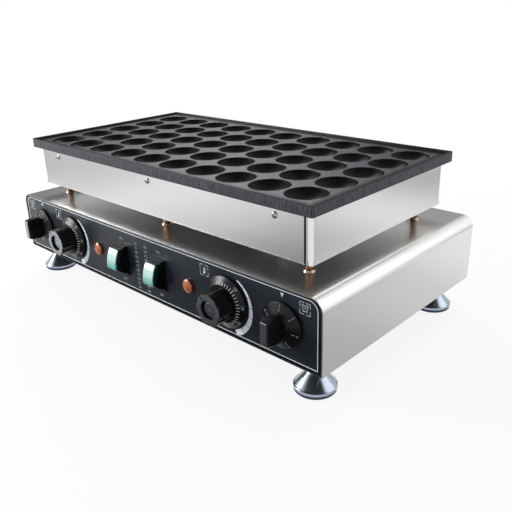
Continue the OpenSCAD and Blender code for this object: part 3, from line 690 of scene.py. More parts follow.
def buildHousing(shape):
    bm = bmesh.new()
    w, d, t, bend = shape["width"] / 2, shape["deep"] / 2, shape["sheet"], shape["bend"]
    levels = [shape["low"] + shape["relief"] * (k / 8) ** 1.6 for k in range(9)]
    levels += [175.0, shape["high"]]
    for side in (-1, 1):
        loops = []
        for z in levels:
            path = []
            for gap in (0, t):
                r = max(bendAt(shape, z) - gap, 0.3)
                x, y = w - gap, d - gap
                line = [(w - bend, -y)]
                for start, cy in ((-90, -y + r), (0, y - r)):
                    line += [(x - r + r * math.cos(math.radians(start + 9 * k)),
                              cy + r * math.sin(math.radians(start + 9 * k)))
                             for k in range(11)]
                line.append((w - bend, y))
                path += line if gap == 0 else line[::-1]
            loops.append([(side * x, y, z) for x, y in path])
        addLoft(bm, loops, capStart=True, capEnd=True)
        for end in (-1, 1):
            ys = sorted((end * (d - t), end * (d - 2 * t)))
            xs = sorted((side * (w - bend + 0.4), side * (w - bend - shape["flange"])))
            addBox(bm, (xs[0], ys[0], shape["low"] + 0.1), (xs[1], ys[1], shape["high"]))
    addBox(bm, (-w + t, -d + 2 * t, shape["low"]), (w - t, d - 2 * t, shape["low"] + t))
    return bm


def buildCover(shape, end):
    bm = bmesh.new()
    x, left = shape["width"] / 2 - shape["bend"] - shape["seam"], shape["shift"]
    ys = sorted((end * shape["deep"] / 2, end * (shape["deep"] / 2 - shape["sheet"])))
    addBox(bm, (-x - left, ys[0], shape["low"]), (x - left, ys[1], shape["high"]))
    return bm


finishPiece("heaterHousing", buildHousing(housingShape), mat("housing"), "chassis",
            ["heater_housing"], bevel=0.22, segments=2)
for name, end, node in (("frontCover", -1, "housing_front_cover"),
                        ("backCover", 1, "housing_back_cover")):
    finishPiece(name, buildCover(housingShape, end), mat("housing"), "chassis",
                [node])


# Black strips in the wider seams, at the right ends of the covers: painted shade in the seam gaps.
def buildSeals(shape):
    bm = bmesh.new()
    x1 = shape["width"] / 2 - shape["bend"] - 0.02
    x0 = x1 - shape["seam"] - shape["shift"] + 0.04
    y0 = shape["deep"] / 2 - shape["sheet"]
    for sy in (-1, 1):
        ys = sorted((sy * (y0 + 0.02), sy * (y0 + 0.35)))
        addBox(bm, (x0, ys[0], shape["low"] + 0.3), (x1, ys[1], shape["high"] - 0.2))
    return bm


finishPiece("seamShadeStrips", buildSeals(housingShape), mat("seamShadeLook"), "chassis",
            bevel=0.06, segments=2)

screwShape = {"count": 3, "spacing": 214.0, "reach": 133.5, "height": 189.5, "slotW": 0.7,
              "slotL": 3.8, "slotDeep": 1.0}


def buildScrewHead(shape):
    bm = bmesh.new()
    profile = [(0, -1), (2, -1), (2, 0), (4, 0), (3.96, 0.35), (3.7, 0.95), (3.0, 1.55),
               (2.0, 1.88), (1.0, 2.0), (0, 2.0)]
    addLathe(bm, profile, lambda r, a, h: (r * math.cos(a), -h, r * math.sin(a)), 40)
    faceOutwards(bm)
    tool = bmesh.new()
    l, w = shape["slotL"] / 2, shape["slotW"] / 2
    cross = [(w, w), (w, l), (-w, l), (-w, w), (-l, w), (-l, -w), (-w, -w), (-w, -l), (w, -l),
             (w, -w), (l, -w), (l, w)]
    loops = [[(x, y, z) for x, z in cross] for y in (-3.0, -2.0 + shape["slotDeep"])]
    addLoft(tool, loops, capStart=True, capEnd=True)
    faceOutwards(tool)
    mesh = cutFrom(toMesh(bm), toMesh(tool))
    mesh.transform(Matrix.Scale(mm, 4))
    return mesh


screws = growTree(screwTree, buildScrewHead(screwShape), {
    "Count": screwShape["count"], "Spacing": screwShape["spacing"] * mm,
    "Reach": screwShape["reach"] * mm, "Height": screwShape["height"] * mm,
    "Finish": looks["screw"].material})
screws.transform(Matrix.Scale(1 / mm, 4))
finishPiece("coverScrews", screws, mat("screw"), "chassis", ["cover_screws"])
print("housing ready")

# Posts and collars between the base and the housing

postShape = {"pitchX": 240.0, "pitchY": 217.0, "baseTop": 125.0, "height": 19.0, "r": 4.25,
             "collarR": 7.0, "collarTopR": 5.7, "collarH": 2.8}


def onPostGrid(profile, look):
    bm = bmesh.new()
    addLathe(bm, profile, onTable(0, 0), 48)
    faceOutwards(bm)
    bmesh.ops.scale(bm, vec=(mm, mm, mm), verts=bm.verts[:])
    mesh = growTree(gridTree, toMesh(bm), {
        "Columns": 3, "Rows": 2, "Column Pitch": postShape["pitchX"] * mm,
        "Row Pitch": postShape["pitchY"] * mm, "Finish": look})
    mesh.transform(Matrix.Scale(1 / mm, 4))
    return mesh


z0, h, r = postShape["baseTop"], postShape["height"], postShape["r"]
posts = onPostGrid([(0, z0), (r, z0), (r, z0 + h - 1), (r - 0.3, z0 + h - 0.7), (r, z0 + h - 0.4),
                    (r, z0 + h), (0, z0 + h)], looks["brass"].material)
finishPiece("standoffPosts", posts, mat("brass"), "chassis", ["standoff_posts"])
c, ct, ch = (postShape[k] for k in ("collarR", "collarTopR", "collarH"))
collars = onPostGrid([(r + 0.1, z0), (c - 0.2, z0), (c - 0.1, z0 + 0.15),
                      (ct + 0.15, z0 + ch - 0.4), (ct - 0.1, z0 + ch - 0.1), (ct - 0.5, z0 + ch),
                      (r + 0.4, z0 + ch), (r + 0.1, z0 + ch - 0.3), (r + 0.1, z0)],
                     looks["collar"].material)
finishPiece("standoffCollars", collars, mat("collar"), "chassis",
            ["standoff_collars"])

# Base shell: one folded sheet

shellShape = {"width": 592.0, "low": 38.0, "high": 125.0, "bend": 15.0, "sheet": 1.5,
              "front": -157.1, "back": 164.2, "flange": 14.0}


def buildShell(shape):
    bm = bmesh.new()
    t = shape["sheet"]
    outer = archPath(shape["width"], shape["low"], shape["high"], shape["bend"])
    inner = archPath(shape["width"] - 2 * t, shape["low"], shape["high"] - t, shape["bend"] - t)
    outline = outer + inner[::-1]
    ys = (shape["front"], shape["front"] + 40, 0, shape["back"] - 40, shape["back"])
    addLoft(bm, [[(x, y, z) for x, z in outline] for y in ys], capStart=True, capEnd=True)
    for side in (-1, 1):
        inside = shape["width"] / 2 - t
        xs = sorted((side * inside, side * (inside - shape["flange"])))
        addBox(bm, (xs[0], shape["front"] + 4, shape["low"] + t),
               (xs[1], shape["back"] - 4, shape["low"] + 2 * t))
    bm.normal_update()
    # The cut edges take the darker look, partly painted shade.
    for face in bm.faces:            # the sheet's cut edges
        face.material_index = 1 if abs(face.normal.y) > 0.9 else 0
    return bm


finishPiece("baseShell", buildShell(shellShape), mat("base", "cutEdgeAndShade"), "chassis",
            ["base_shell"], sharp=40)
print("base ready")

# Print on the film and on the dials

filmY = -156.6           # front face of the film
printProud = 0.06


def onFilm(x, z):
    return (x, filmY - printProud, z)


def appendMesh(bm, mesh):
    bm.from_mesh(mesh)
    bpy.data.meshes.remove(mesh)


# Lettering laid on a surface by the placer, which takes flat x and y.
def addText(bm, words, size, place, cuts=0):
    curve = bpy.data.curves.new("lettering", "FONT")
    curve.body, curve.size, curve.resolution_u = words, size, 3
    curve.align_x, curve.align_y = "CENTER", "CENTER"
    holder = bpy.data.objects.new("lettering", curve)
    scene.collection.objects.link(holder)
    flat = meshOf(holder)
    dropHolder(holder)
    part = bmesh.new()
    part.from_mesh(flat)
    bpy.data.meshes.remove(flat)
    bmesh.ops.remove_doubles(part, verts=part.verts[:], dist=0.001)
    bmesh.ops.triangulate(part, faces=part.faces[:])
    if cuts:
        bmesh.ops.subdivide_edges(part, edges=part.edges[:], cuts=cuts)
        bmesh.ops.triangulate(part, faces=part.faces[:])
    for vert in part.verts:
        vert.co = place(vert.co.x, vert.co.y)
    appendMesh(bm, toMesh(part))


# A drawn line of even width through flat points.
def addRibbon(bm, points, width, place, closed=False):
    count = len(points)
    left, right = [], []
    for i, point in enumerate(points):
        here = Vector(point)
        before = Vector(points[i - 1]) if closed or i > 0 else None
        after = Vector(points[(i + 1) % count]) if closed or i < count - 1 else None
        ways = [v.normalized() for v in ((here - before) if before else None,
                                         (after - here) if after else None) if v and v.length]
        way = sum(ways, Vector((0, 0))).normalized()
        spread = max(0.5, way.dot(ways[0]))
        off = Vector((-way.y, way.x)) * width / 2 / spread
        left.append(place(*(here + off)))
        right.append(place(*(here - off)))
    rows = [[bm.verts.new(p) for p in line] for line in (right, left)]
    for i in range(count if closed else count - 1):
        j = (i + 1) % count
        bm.faces.new((rows[0][i], rows[0][j], rows[1][j], rows[1][i]))


def circlePoints(x, y, r, count=28, start=0.0, sweep=360.0):
    full = sweep >= 360
    return [(x + r * math.cos(math.radians(start + sweep * k / (count if full else count - 1))),
             y + r * math.sin(math.radians(start + sweep * k / (count if full else count - 1))))
            for k in range(count)]


# Turns open print so that its faces look one way.
def faceTowards(bm, direction):
    bm.normal_update()
    flip = [f for f in bm.faces if f.normal.dot(direction) < 0]
    bmesh.ops.reverse_faces(bm, faces=flip)


# One flat shape of print.
def addPatch(bm, points, place):
    bm.faces.new([bm.verts.new(place(*p)) for p in points])


panelShape = {"halfW": 290.0, "low": 43.0, "high": 121.3, "corner": 11.5, "line": 0.95,
              "knobZ": 82.0, "thermostatX": 161.0, "timerX": 244.0, "switchX": 39.0,
              "wedgeFrom": 62.0, "wedgeTo": -72.0, "wedgeIn": 34.0, "wedgeTop": 35.2,
              "wedgeLow": 41.8, "wedgeParts": 7, "wedgeGap": 1.1, "iconHalf": 6.6,
              "iconLine": 0.5, "thermometerX": (-196.8, 124.5), "thermometerZ": 110.0,
              "clockX": (-275.5, 273.2), "clockZ": 109.8, "onZ": 109.6, "offZ": 51.2,
              "scaleX": (-7.0, 13.0), "scaleRows": 11, "scaleTop": 110.0, "scaleLow": 48.0,
              "scaleSize": 4.6}


# Broken square frame, drawn as four corner brackets.
def addFrameIcon(bm, x, z, half, line):
    for sx in (-1, 1):
        for sz in (-1, 1):
            pts = [(x + sx * half * 0.18, z + sz * half), (x + sx * half, z + sz * half),
                   (x + sx * half, z + sz * half * 0.18)]
            addRibbon(bm, pts, line, onFilm)


# Solid stem and bulb with three marks beside it.
def addThermometer(bm, x, z, line):
    bulb = circlePoints(x, z - 2.8, 1.55, 26, 117, 306)
    addPatch(bm, bulb + circlePoints(x, z + 2.9, 0.7, 9, 0, 180), onFilm)
    for k in range(3):
        level = z + 2.6 - k * 1.6
        addRibbon(bm, [(x + 1.7, level), (x + 3.1, level)], line * 0.8, onFilm)


# Alarm clock: round case with hands, two bells and two feet.
def addClock(bm, x, z, line):
    addRibbon(bm, circlePoints(x, z, 3.1), line, onFilm, closed=True)
    addRibbon(bm, [(x, z + 2.0), (x, z), (x + 1.4, z - 0.5)], line * 0.8, onFilm)
    for sign in (-1, 1):
        foot = [(x + sign * 1.8, z - 2.7), (x + sign * 2.7, z - 4.1)]
        addRibbon(bm, foot, line, onFilm)
        bell = circlePoints(x + sign * 2.3, z + 2.5, 1.9, 9, 90 - sign * 45 - 70, 140)
        addRibbon(bm, bell, line, onFilm)


def buildPanelPrint(shape):
    bm = bmesh.new()
    inset, line = shape["line"] / 2, shape["iconLine"]
    outline = archPath(2 * (shape["halfW"] - inset), shape["low"] + inset,
                       shape["high"] - inset, shape["corner"] - inset, 12)
    addRibbon(bm, outline, shape["line"], onFilm, closed=True)
    for end, side in enumerate((-1, 1)):
        x, z = side * shape["thermostatX"], shape["knobZ"]
        parts, steps, gap = shape["wedgeParts"], 8, shape["wedgeGap"]
        sweep = shape["wedgeFrom"] - shape["wedgeTo"]
        span = sweep / parts
        for p in range(parts):
            inner, outer = [], []
            for k in range(steps + 1):
                a = shape["wedgeFrom"] - p * span - gap / 2 - (span - gap) * k / steps
                t = (shape["wedgeFrom"] - a) / sweep
                rim = shape["wedgeTop"] + (shape["wedgeLow"] - shape["wedgeTop"]) * t ** 0.7
                for points, r in ((inner, shape["wedgeIn"]), (outer, rim)):
                    points.append(onFilm(x + r * math.cos(math.radians(a)),
                                         z + r * math.sin(math.radians(a))))
            addLoft(bm, [inner, outer], closed=False)
        ix, iz = shape["thermometerX"][end], shape["thermometerZ"]
        addFrameIcon(bm, ix, iz, shape["iconHalf"], line)
        addThermometer(bm, ix, iz, line)
        ix, iz = shape["clockX"][end], shape["clockZ"]
        addFrameIcon(bm, ix, iz, shape["iconHalf"], line)
        addClock(bm, ix, iz, line)
        tx = side * (shape["timerX"] - 1)
        addPatch(bm, ((tx - 2.4, 118), (tx + 2.4, 118), (tx, 113.2)), onFilm)
    faceTowards(bm, Vector((0, -1, 0)))
    return bm


# Switch words, and two columns of plain numbers: degrees Celsius and the same in Fahrenheit.
def buildScalePrint(shape):
    bm = bmesh.new()
    rows = shape["scaleRows"]
    for k in range(rows):
        celsius = 50 + 25 * k
        z = shape["scaleTop"] - (shape["scaleTop"] - shape["scaleLow"]) * k / (rows - 1)
        for x, value in zip(shape["scaleX"], (celsius, round(celsius * 9 / 5 + 32))):
            addText(bm, str(value), shape["scaleSize"],
                    lambda u, v, x=x, z=z: onFilm(x + u, z + v))
    for side in (-1, 1):
        for words, z in (("ON", shape["onZ"]), ("OFF", shape["offZ"])):
            x = side * shape["switchX"]
            addText(bm, words, shape["scaleSize"],
                    lambda u, v, x=x, z=z: onFilm(x + u, z + v))
    faceTowards(bm, Vector((0, -1, 0)))
    return bm


finishPiece("panelPrint", buildPanelPrint(panelShape), mat("ink"), "chassis",
            outward=False)
finishPiece("scalePrint", buildScalePrint(panelShape), mat("fineInk"), "chassis",
            outward=False)
print("panel print ready")

# Knobs

thermostatKnob = {"skirtR": 31.5, "coneR": 22.8, "gripZ": 8.5, "gripR": 19.3, "flutes": 6,
                  "fluteR": 6.1, "fluteDeep": 1.3, "turn": 128.0, "reach": 30.0, "round": 1.0,
                  "recessR": 10.6, "seat": 24.5, "slotFrom": 12.0, "slotTo": 22.0, "slotW": 1.6,
                  "slotDeep": 0.8, "capR": 8.9, "capTop": 27.2, "grooves": (6.4, 3.7),
                  "ticks": 31, "dialStart": 95.0, "dialStep": 9.0, "tickFrom": 22.9,
                  "longTick": (26.9, 0.75), "shortTick": (26.1, 0.6), "numberR": 28.9,
                  "numberSize": 3.6}


# Height of the sloping dial at a radius.
def dialHeight(shape, r):
    t = (shape["skirtR"] - r) / (shape["skirtR"] - shape["coneR"])
    return 3 + (shape["gripZ"] - 3) * min(max(t, 0), 1)


# Radius of the lobed grip at an angle in degrees from the middle of a valley.
def lobeRadius(shape, angle):
    off = math.radians(abs(angle))
    middle = shape["gripR"] + shape["fluteR"] - shape["fluteDeep"]
    under = shape["fluteR"] ** 2 - (middle * math.sin(off)) ** 2
    valley = middle * math.cos(off) - math.sqrt(under) if under > 0 else shape["gripR"] + 1
    blend = max(0.4 - abs(valley - shape["gripR"]), 0) / 0.4
    return min(valley, shape["gripR"]) - blend * blend * 0.1


def buildThermostatKnob(shape, x, z):
    bm = bmesh.new()
    place = onFront(x, z)
    sector = 360 / shape["flutes"]
    offs = [-30, -26, -22, -18, -15, -12.5, -11.2, -10.4, -9.6, -8.5, -7, -5, -2.5, 0,
            2.5, 5, 7, 8.5, 9.6, 10.4, 11.2, 12.5, 15, 18, 22, 26]
    around = [(shape["turn"] + (i + 0.5) * sector + off, off)
              for i in range(shape["flutes"]) for off in offs]

    def ring(r, h):
        return [place(r, math.radians(a), h) for a, off in around]

    def lobes(inset, h):
        return [place(lobeRadius(shape, off) - inset, math.radians(a), h) for a, off in around]

    reach, edge, seat, hole = shape["reach"], shape["round"], shape["seat"], shape["recessR"]
    skirt, cone, low = shape["skirtR"], shape["coneR"], shape["gripZ"]
    loops = [ring(0, 2), ring(skirt - 0.6, 2), ring(skirt, 2.5), ring(skirt, 2.8),
             ring(skirt - 0.4, 3.25), ring(cone + 0.3, low - 0.2), ring(cone - 0.3, low),
             ring(shape["gripR"] + 0.8, low), lobes(-0.1, low + 0.15), lobes(0, low + 0.7),
             lobes(0, 14), lobes(0, 20)]
    for k in range(6):
        a = math.radians(18 * k)
        loops.append(lobes(edge * (1 - math.cos(a)), reach - edge * (1 - math.sin(a))))
    addLoft(bm, loops)
    addLoft(bm, [loops[-1], lobes(edge + 1.5, reach), ring(hole + 0.7, reach)], look=1)
    addLoft(bm, [ring(hole + 0.7, reach), ring(hole + 0.2, reach - 0.15), ring(hole, reach - 0.6),
                 ring(hole, seat), ring(0, seat)])
    bmesh.ops.remove_doubles(bm, verts=bm.verts[:], dist=0.003)
    faceOutwards(bm)
    tool = bmesh.new()
    a = math.radians(shape["turn"])
    along, across = Vector((math.cos(a), math.sin(a))), Vector((-math.sin(a), math.cos(a)))
    across *= shape["slotW"] / 2
    near, far = along * shape["slotFrom"], along * shape["slotTo"]
    outline = [near - across, far - across, far + across, near + across]
    loops = [[(x + p.x, baseEdge - h, z + p.y) for p in outline]
             for h in (reach - shape["slotDeep"], reach + 2)]
    addLoft(tool, loops, capStart=True, capEnd=True)
    faceOutwards(tool)
    return cutFrom(toMesh(bm), toMesh(tool))


def buildCap(shape, x, z):
    bm = bmesh.new()
    top, r, seat = shape["capTop"], shape["capR"], shape["seat"]
    place = onFront(x, z)
    addLathe(bm, [(0, seat), (r, seat), (r, top - 0.7), (r - 0.2, top - 0.2), (r - 0.7, top)],
             place, 64)
    inner = r - 0.7
    for groove in shape["grooves"]:
        addLathe(bm, [(inner, top), (groove + 0.3, top)], place, 64)
        addLathe(bm, [(groove + 0.3, top), (groove + 0.2, top - 0.4), (groove - 0.2, top - 0.4),
                      (groove - 0.3, top)], place, 64, look=1)
        inner = groove - 0.3
    addLathe(bm, [(inner, top), (0, top)], place, 64)
    bmesh.ops.remove_doubles(bm, verts=bm.verts[:], dist=0.003)
    return bm


# A number on a dial, its foot towards the middle.
def addDialText(bm, words, size, x, z, r, angle, height, lift=0.1):
    a0 = math.radians(angle)

    def place(u, v):
        along, out = u, r + v
        dist = math.hypot(along, out)
        a = a0 - math.atan2(along, out)
        return (x + dist * math.cos(a), baseEdge - height(dist) - lift, z + dist * math.sin(a))

    addText(bm, words, size, place, cuts=1)


def addDialTick(bm, x, z, r0, r1, angle, width, height, lift=0.1):
    a = math.radians(angle)
    rows = []
    for off in (-width / 2, width / 2):
        row = []
        for k in range(4):
            r = r0 + (r1 - r0) * k / 3
            px, pz = r * math.cos(a) - off * math.sin(a), r * math.sin(a) + off * math.cos(a)
            row.append((x + px, baseEdge - height(math.hypot(px, pz)) - lift, z + pz))
        rows.append(row)
    addLoft(bm, rows, closed=False)


def buildThermostatDial(shape, x, z):
    bm = bmesh.new()

    def height(r):
        return dialHeight(shape, r)

    start, step = shape["dialStart"], shape["dialStep"]
    for k in range(shape["ticks"]):  # every fifth tick is long and has a number
        far, width = shape["longTick" if k % 5 == 0 else "shortTick"]
        addDialTick(bm, x, z, shape["tickFrom"], far, start - k * step, width, height)
    ticks = len(bm.faces)
    for k in range(shape["ticks"] // 5):
        addDialText(bm, str(50 + 50 * k), shape["numberSize"], x, z, shape["numberR"],
                    start - k * 5 * step, height)
    bm.faces.ensure_lookup_table()
    for face in bm.faces[ticks:]:
        face.material_index = 1
    faceTowards(bm, Vector((0, -1, 0)))
    return bm


for side, sign in sides.items():
    x, z = sign * panelShape["thermostatX"], panelShape["knobZ"]
    cap = side.capitalize()
    body = "thermostat_" + side
    finishPiece("thermostatKnob" + cap, buildThermostatKnob(thermostatKnob, x, z),
                mat("knob", "knobFace"), body, ["thermostat_knob_" + side], sharp=40)
    finishPiece("thermostatCap" + cap, buildCap(thermostatKnob, x, z), mat("button", "knob"), body,
                ["thermostat_cap_" + side])
    finishPiece("thermostatDial" + cap, buildThermostatDial(thermostatKnob, x, z),
                mat("ink", "fineInk"), body, outward=False)


timerKnob = {"skirtR": 26.5, "coneR": 12.0, "coneLow": 3.5, "coneTop": 8.5, "barW": 10.8,
             "round": 1.9, "reach": 30.0, "numbers": 7, "dialStep": 50.0, "tickFrom": 17.0,
             "tickTo": 21.0, "tickW": 0.55, "numberR": 23.4, "numberSize": 3.4}


def buildTimerSkirt(shape, x, z):
    bm = bmesh.new()
    r, low, top = shape["skirtR"], shape["coneLow"], shape["coneTop"]
    profile = [(0, 2), (r - 0.4, 2), (r, 2.4), (r, low - 0.3), (r - 0.3, low + 0.05),
               (shape["coneR"] + 0.3, top - 0.15), (shape["coneR"] - 0.4, top), (0, top)]
    addLathe(bm, profile, onFront(x, z), 96)
    return bm


def buildTimerBar(shape, x, z):
    bm = bmesh.new()
    reach = shape["reach"]
    outline = roundPath([(5, z - 12.5), (8, z - 15.4), (13, z - 16.4), (24, z - 15),
                         (reach, z - 13.2), (reach, z + 14.8), (24, z + 16.2), (13, z + 16.8),
                         (8, z + 14.6), (5, z + 11)], [0, 2.5, 4, 6, 2.4, 2.4, 6, 4, 2.5, 0])
    addSideProfile(bm, x, shape["barW"], outline)
    faceOutwards(bm)
    return bevelled(toMesh(bm), shape["round"], 5, 35)


def buildTimerDial(shape, x, z):
    bm = bmesh.new()

    def height(r):
        t = (shape["skirtR"] - r) / (shape["skirtR"] - shape["coneR"])
        return shape["coneLow"] + (shape["coneTop"] - shape["coneLow"]) * min(max(t, 0), 1)

    for k in range(shape["numbers"]):
        angle = 90 - k * shape["dialStep"]
        addDialTick(bm, x, z, shape["tickFrom"], shape["tickTo"], angle, shape["tickW"], height)
        addDialText(bm, str(5 * k), shape["numberSize"], x, z, shape["numberR"], angle, height)
    faceTowards(bm, Vector((0, -1, 0)))
    return bm


for side, sign in sides.items():
    x, z = sign * panelShape["timerX"], panelShape["knobZ"]
    cap = side.capitalize()
    body = "timer_" + side
    bm = buildTimerSkirt(timerKnob, x, z)
    faceOutwards(bm)
    appendMesh(bm, buildTimerBar(timerKnob, x, z))
    for face in bm.faces:            # the bar's flat end
        front = baseEdge - face.calc_center_median().y
        if front > timerKnob["reach"] - 0.4 and face.normal.y < -0.9:
            face.material_index = 1
    finishPiece("timerKnob" + cap, bm, mat("knob", "knobFace"), body,
                ["timer_knob_" + side], outward=False, sharp=40)
    finishPiece("timerDial" + cap, buildTimerDial(timerKnob, x, z), mat("fineInk"), body,
                outward=False)
print("knobs ready")

# Rocker switches and lamps

rockerShape = {"width": 20.5, "pivot": (-2.0, 83.0), "lowR": 20.4, "highR": 16.3,
               "face": ((12.6, 99.0), (15.2, 94.5), (17.3, 89.0), (18.8, 83.0), (19.6, 77.0),
                        (19.6, 72.0)),
               "faceRound": (1.3, 3, 3, 3, 3, 2.2), "edgeRound": 1.8, "lensTop": (6.0, 99.0),
               "lensLow": (15.2, 69.84), "rearTop": (1.2, 99.0)}


def buildRocker(shape, x):
    px, pz = shape["pivot"]

    def around(r, a):
        return (px + r * math.sin(math.radians(a)), pz + r * math.cos(math.radians(a)))

    lens = bmesh.new()
    outline = roundPath([shape["lensTop"], *shape["face"], shape["lensLow"]],
                        [0, *shape["faceRound"], 0], 4)
    addSideProfile(lens, x, shape["width"], outline)
    faceOutwards(lens)
    lensMesh = bevelled(toMesh(lens), shape["edgeRound"], 5)
    body = bmesh.new()
    outline = [shape["lensTop"], shape["lensLow"]]
    outline += [around(shape["lowR"], a) for a in range(136, 201, 4)]
    outline += [around(shape["highR"], a) for a in range(-35, 11, 5)]
    outline.append(shape["rearTop"])
    addSideProfile(body, x, shape["width"] - 0.3, outline)
    faceOutwards(body)
    bodyMesh = bevelled(toMesh(body), 0.4, 2)
    bm = bmesh.new()
    appendMesh(bm, lensMesh)
    bm.normal_update()
    # Faces turned to the front are mint; the lens's other faces take the dark green painted shade.
    for face in bm.faces:
        face.material_index = 0 if face.normal.y < -0.45 else 1
    count = len(bm.faces)
    appendMesh(bm, bodyMesh)
    bm.faces.ensure_lookup_table()
    for face in bm.faces[count:]:
        face.material_index = 2
    return bm


bezelShape = {"width": 25.3, "low": 60.0, "high": 101.6, "lowReach": 2.0, "highReach": 6.0,
              "windowW": 21.1, "windowLow": 62.3, "windowHigh": 99.6, "back": -0.5,
              "through": 20.0, "pocket": 18.5, "bodyW": 23.5, "bodyLow": 61.0,
              "bodyHigh": 100.9, "bodyDeep": 30.0}


# Cuts the rocker's window from in front to a depth behind the base's edge.
def windowCutter(shape, x, deep):
    tool = bmesh.new()
    half = shape["windowW"] / 2
    addBox(tool, (x - half, baseEdge - shape["through"], shape["windowLow"]),
           (x + half, baseEdge + deep, shape["windowHigh"]))
    faceOutwards(tool)
    return tool


def buildBezel(shape, x):
    outer = bmesh.new()
    outline = [(shape["back"], shape["low"]), (shape["lowReach"], shape["low"]),
               (shape["lowReach"] + 0.4, shape["windowLow"]),
               (shape["highReach"], shape["high"]), (shape["back"], shape["high"])]
    addSideProfile(outer, x, shape["width"], outline)
    faceOutwards(outer)
    mesh = bevelled(toMesh(outer), 0.7, 3)
    tool = windowCutter(shape, x, shape["through"])
    bezelMesh = cutFrom(mesh, toMesh(tool))
    case = bmesh.new()
    half, front, deep = shape["bodyW"] / 2, baseEdge + 0.6, shape["bodyDeep"]
    addBox(case, (x - half, front, shape["bodyLow"]),
           (x + half, baseEdge + deep, shape["bodyHigh"]))
    faceOutwards(case)
    tool = windowCutter(shape, x, shape["pocket"])
    caseMesh = cutFrom(toMesh(case), toMesh(tool))
    bm = bmesh.new()
    appendMesh(bm, bezelMesh)
    appendMesh(bm, caseMesh)
    return bm


lampShape = {"x": 95.0, "z": 81.4, "r": 9.0, "dome": 2.6, "edge": 2.2, "rimFrom": 8.2}


def buildLamp(shape, x):
    bm = bmesh.new()
    r, dome, edge = shape["r"], shape["dome"], shape["edge"]
    ball = (r * r + dome * dome) / (2 * dome)
    reach = math.asin(r / ball)
    profile = [(0, -24), (6, -24), (6, -0.5), (r - 0.1, -0.5), (r, -0.4), (r, edge - 0.35)]
    for k in range(13):
        a = reach * 0.97 * (1 - k / 12)
        profile.append((ball * math.sin(a), dome + edge - ball * (1 - math.cos(a))))
    addLathe(bm, profile, onFront(x, shape["z"]), 64)
    bmesh.ops.remove_doubles(bm, verts=bm.verts[:], dist=0.01)
    # The lens's outer ring and its barrel take the darker look, painted shade at the dome's edge.
    for face in bm.faces:
        spot = face.calc_center_median()
        out = math.hypot(spot.x - x, spot.z - shape["z"])
        face.material_index = 1 if out > shape["rimFrom"] or spot.y > baseEdge else 0
    return bm


for side, sign in sides.items():
    cap = side.capitalize()
    x = sign * panelShape["switchX"]
    finishPiece("rocker" + cap, buildRocker(rockerShape, x),
                mat("rockerFaceWithPaintedShade", "rockerSidePaintedShade", "switch"), "rocker_" + side,
                ["switch_rocker_" + side], outward=False)
    finishPiece("switchBezel" + cap, buildBezel(bezelShape, x), mat("switch"), "chassis",
                ["switch_housing_" + side], outward=False)
    finishPiece("lamp" + cap, buildLamp(lampShape, sign * lampShape["x"]), mat("lens", "lensRim"),
                "chassis", ["lamp_" + side])
print("switches and lamps ready")

# Feet

footShape = {"x": 266.0, "front": -130.0, "back": 127.0, "r": 24.5, "padH": 4.0, "neck": 7.0,
             "boreR": 5.0, "neckTop": 37.7}


def buildBell(shape, x, y):
    bm = bmesh.new()
    r, neck, pad = shape["r"], shape["neck"], shape["padH"]
    outer = roundPath([(shape["boreR"], pad), (r - 0.3, pad), (r, pad + 0.6), (r, 7.2),
                       (r - 1.3, 8.1), (neck + 2.4, 23.2), (neck, 27.5),
                       (neck, shape["neckTop"]), (shape["boreR"], shape["neckTop"])],
                      [0, 0.3, 0.5, 0.9, 0.9, 3, 3, 0.3, 0], 5)
    addLathe(bm, outer + [(shape["boreR"], pad)], onTable(x, y), 80)
    bmesh.ops.remove_doubles(bm, verts=bm.verts[:], dist=0.003)
    return bm


def buildPad(shape, x, y):
    bm = bmesh.new()
    r = shape["r"] - 0.6
    addLathe(bm, [(0, 0), (r - 1.4, 0), (r - 0.5, 0.25), (r, 1.0), (r, shape["padH"]),
                  (0, shape["padH"])], onTable(x, y), 80)
    return bm


for end in ("front", "back"):
    for side, sign in sides.items():
        tag = end.capitalize() + side.capitalize()
        body = "foot_%s_%s" % (end, side)
        x, y = sign * footShape["x"], footShape[end]
        finishPiece("footBell" + tag, buildBell(footShape, x, y), mat("chrome"), body,
                    ["foot_bell_%s_%s" % (end, side)], sharp=45)
        finishPiece("footPad" + tag, buildPad(footShape, x, y), mat("rubber"), body,
                    ["foot_pad_%s_%s" % (end, side)])

# Cord gland at the back

for name, node, width in (("cableGland", "cable_gland", 0.5), ("glandCap", "gland_cap", 0.6)):
    finishPiece(name, bevelled(cadCopy(node), width, 2, 40), mat("nylon"), "chassis",
                [node], outward=False)
print("feet and gland ready")

# CAD nodes that stay, with a finish of their own

keptLooks = {
    "screw": ["plate_bolts", "element_clamps", "base_screws", "foot_nuts", "wire_conduit",
              "thermostat_shaft_left", "thermostat_shaft_right", "timer_shaft_left",
              "timer_shaft_right", "foot_stem_front_left", "foot_stem_front_right",
              "foot_stem_back_left", "foot_stem_back_right"],
    "sheath": ["heating_element_left", "heating_element_right"],
    "fibre": ["insulation_board"],
    "sleeve": ["lead_wires"],
    "copper": ["sensor_bulb_left", "sensor_bulb_right"],
    "sheet": ["back_panel"],
    # The bottom plate's black is partly painted shade.
    "underside": ["bottom_plate"],
    "panel": ["control_panel"],
    "film": ["panel_overlay"],
    "nylon": ["gland_locknut"],
    "casePlastic": ["thermostat_body_left", "thermostat_body_right", "timer_body_left",
                    "timer_body_right", "terminal_block"],
}
for look, names in keptLooks.items():
    for node in names:
        data = cadNodes[node].data
        data.materials.clear()
        data.materials.append(looks[look].material)
print("CAD nodes dressed")

# Floor, studio and camera

studio = {"worldLight": 0.42, "floorSize": 14.0, "floorDrop": 0.0005, "floorGrey": 0.92,
          "floorGlow": 0.88, "glowFrom": 0.45, "glowTo": 1.3}


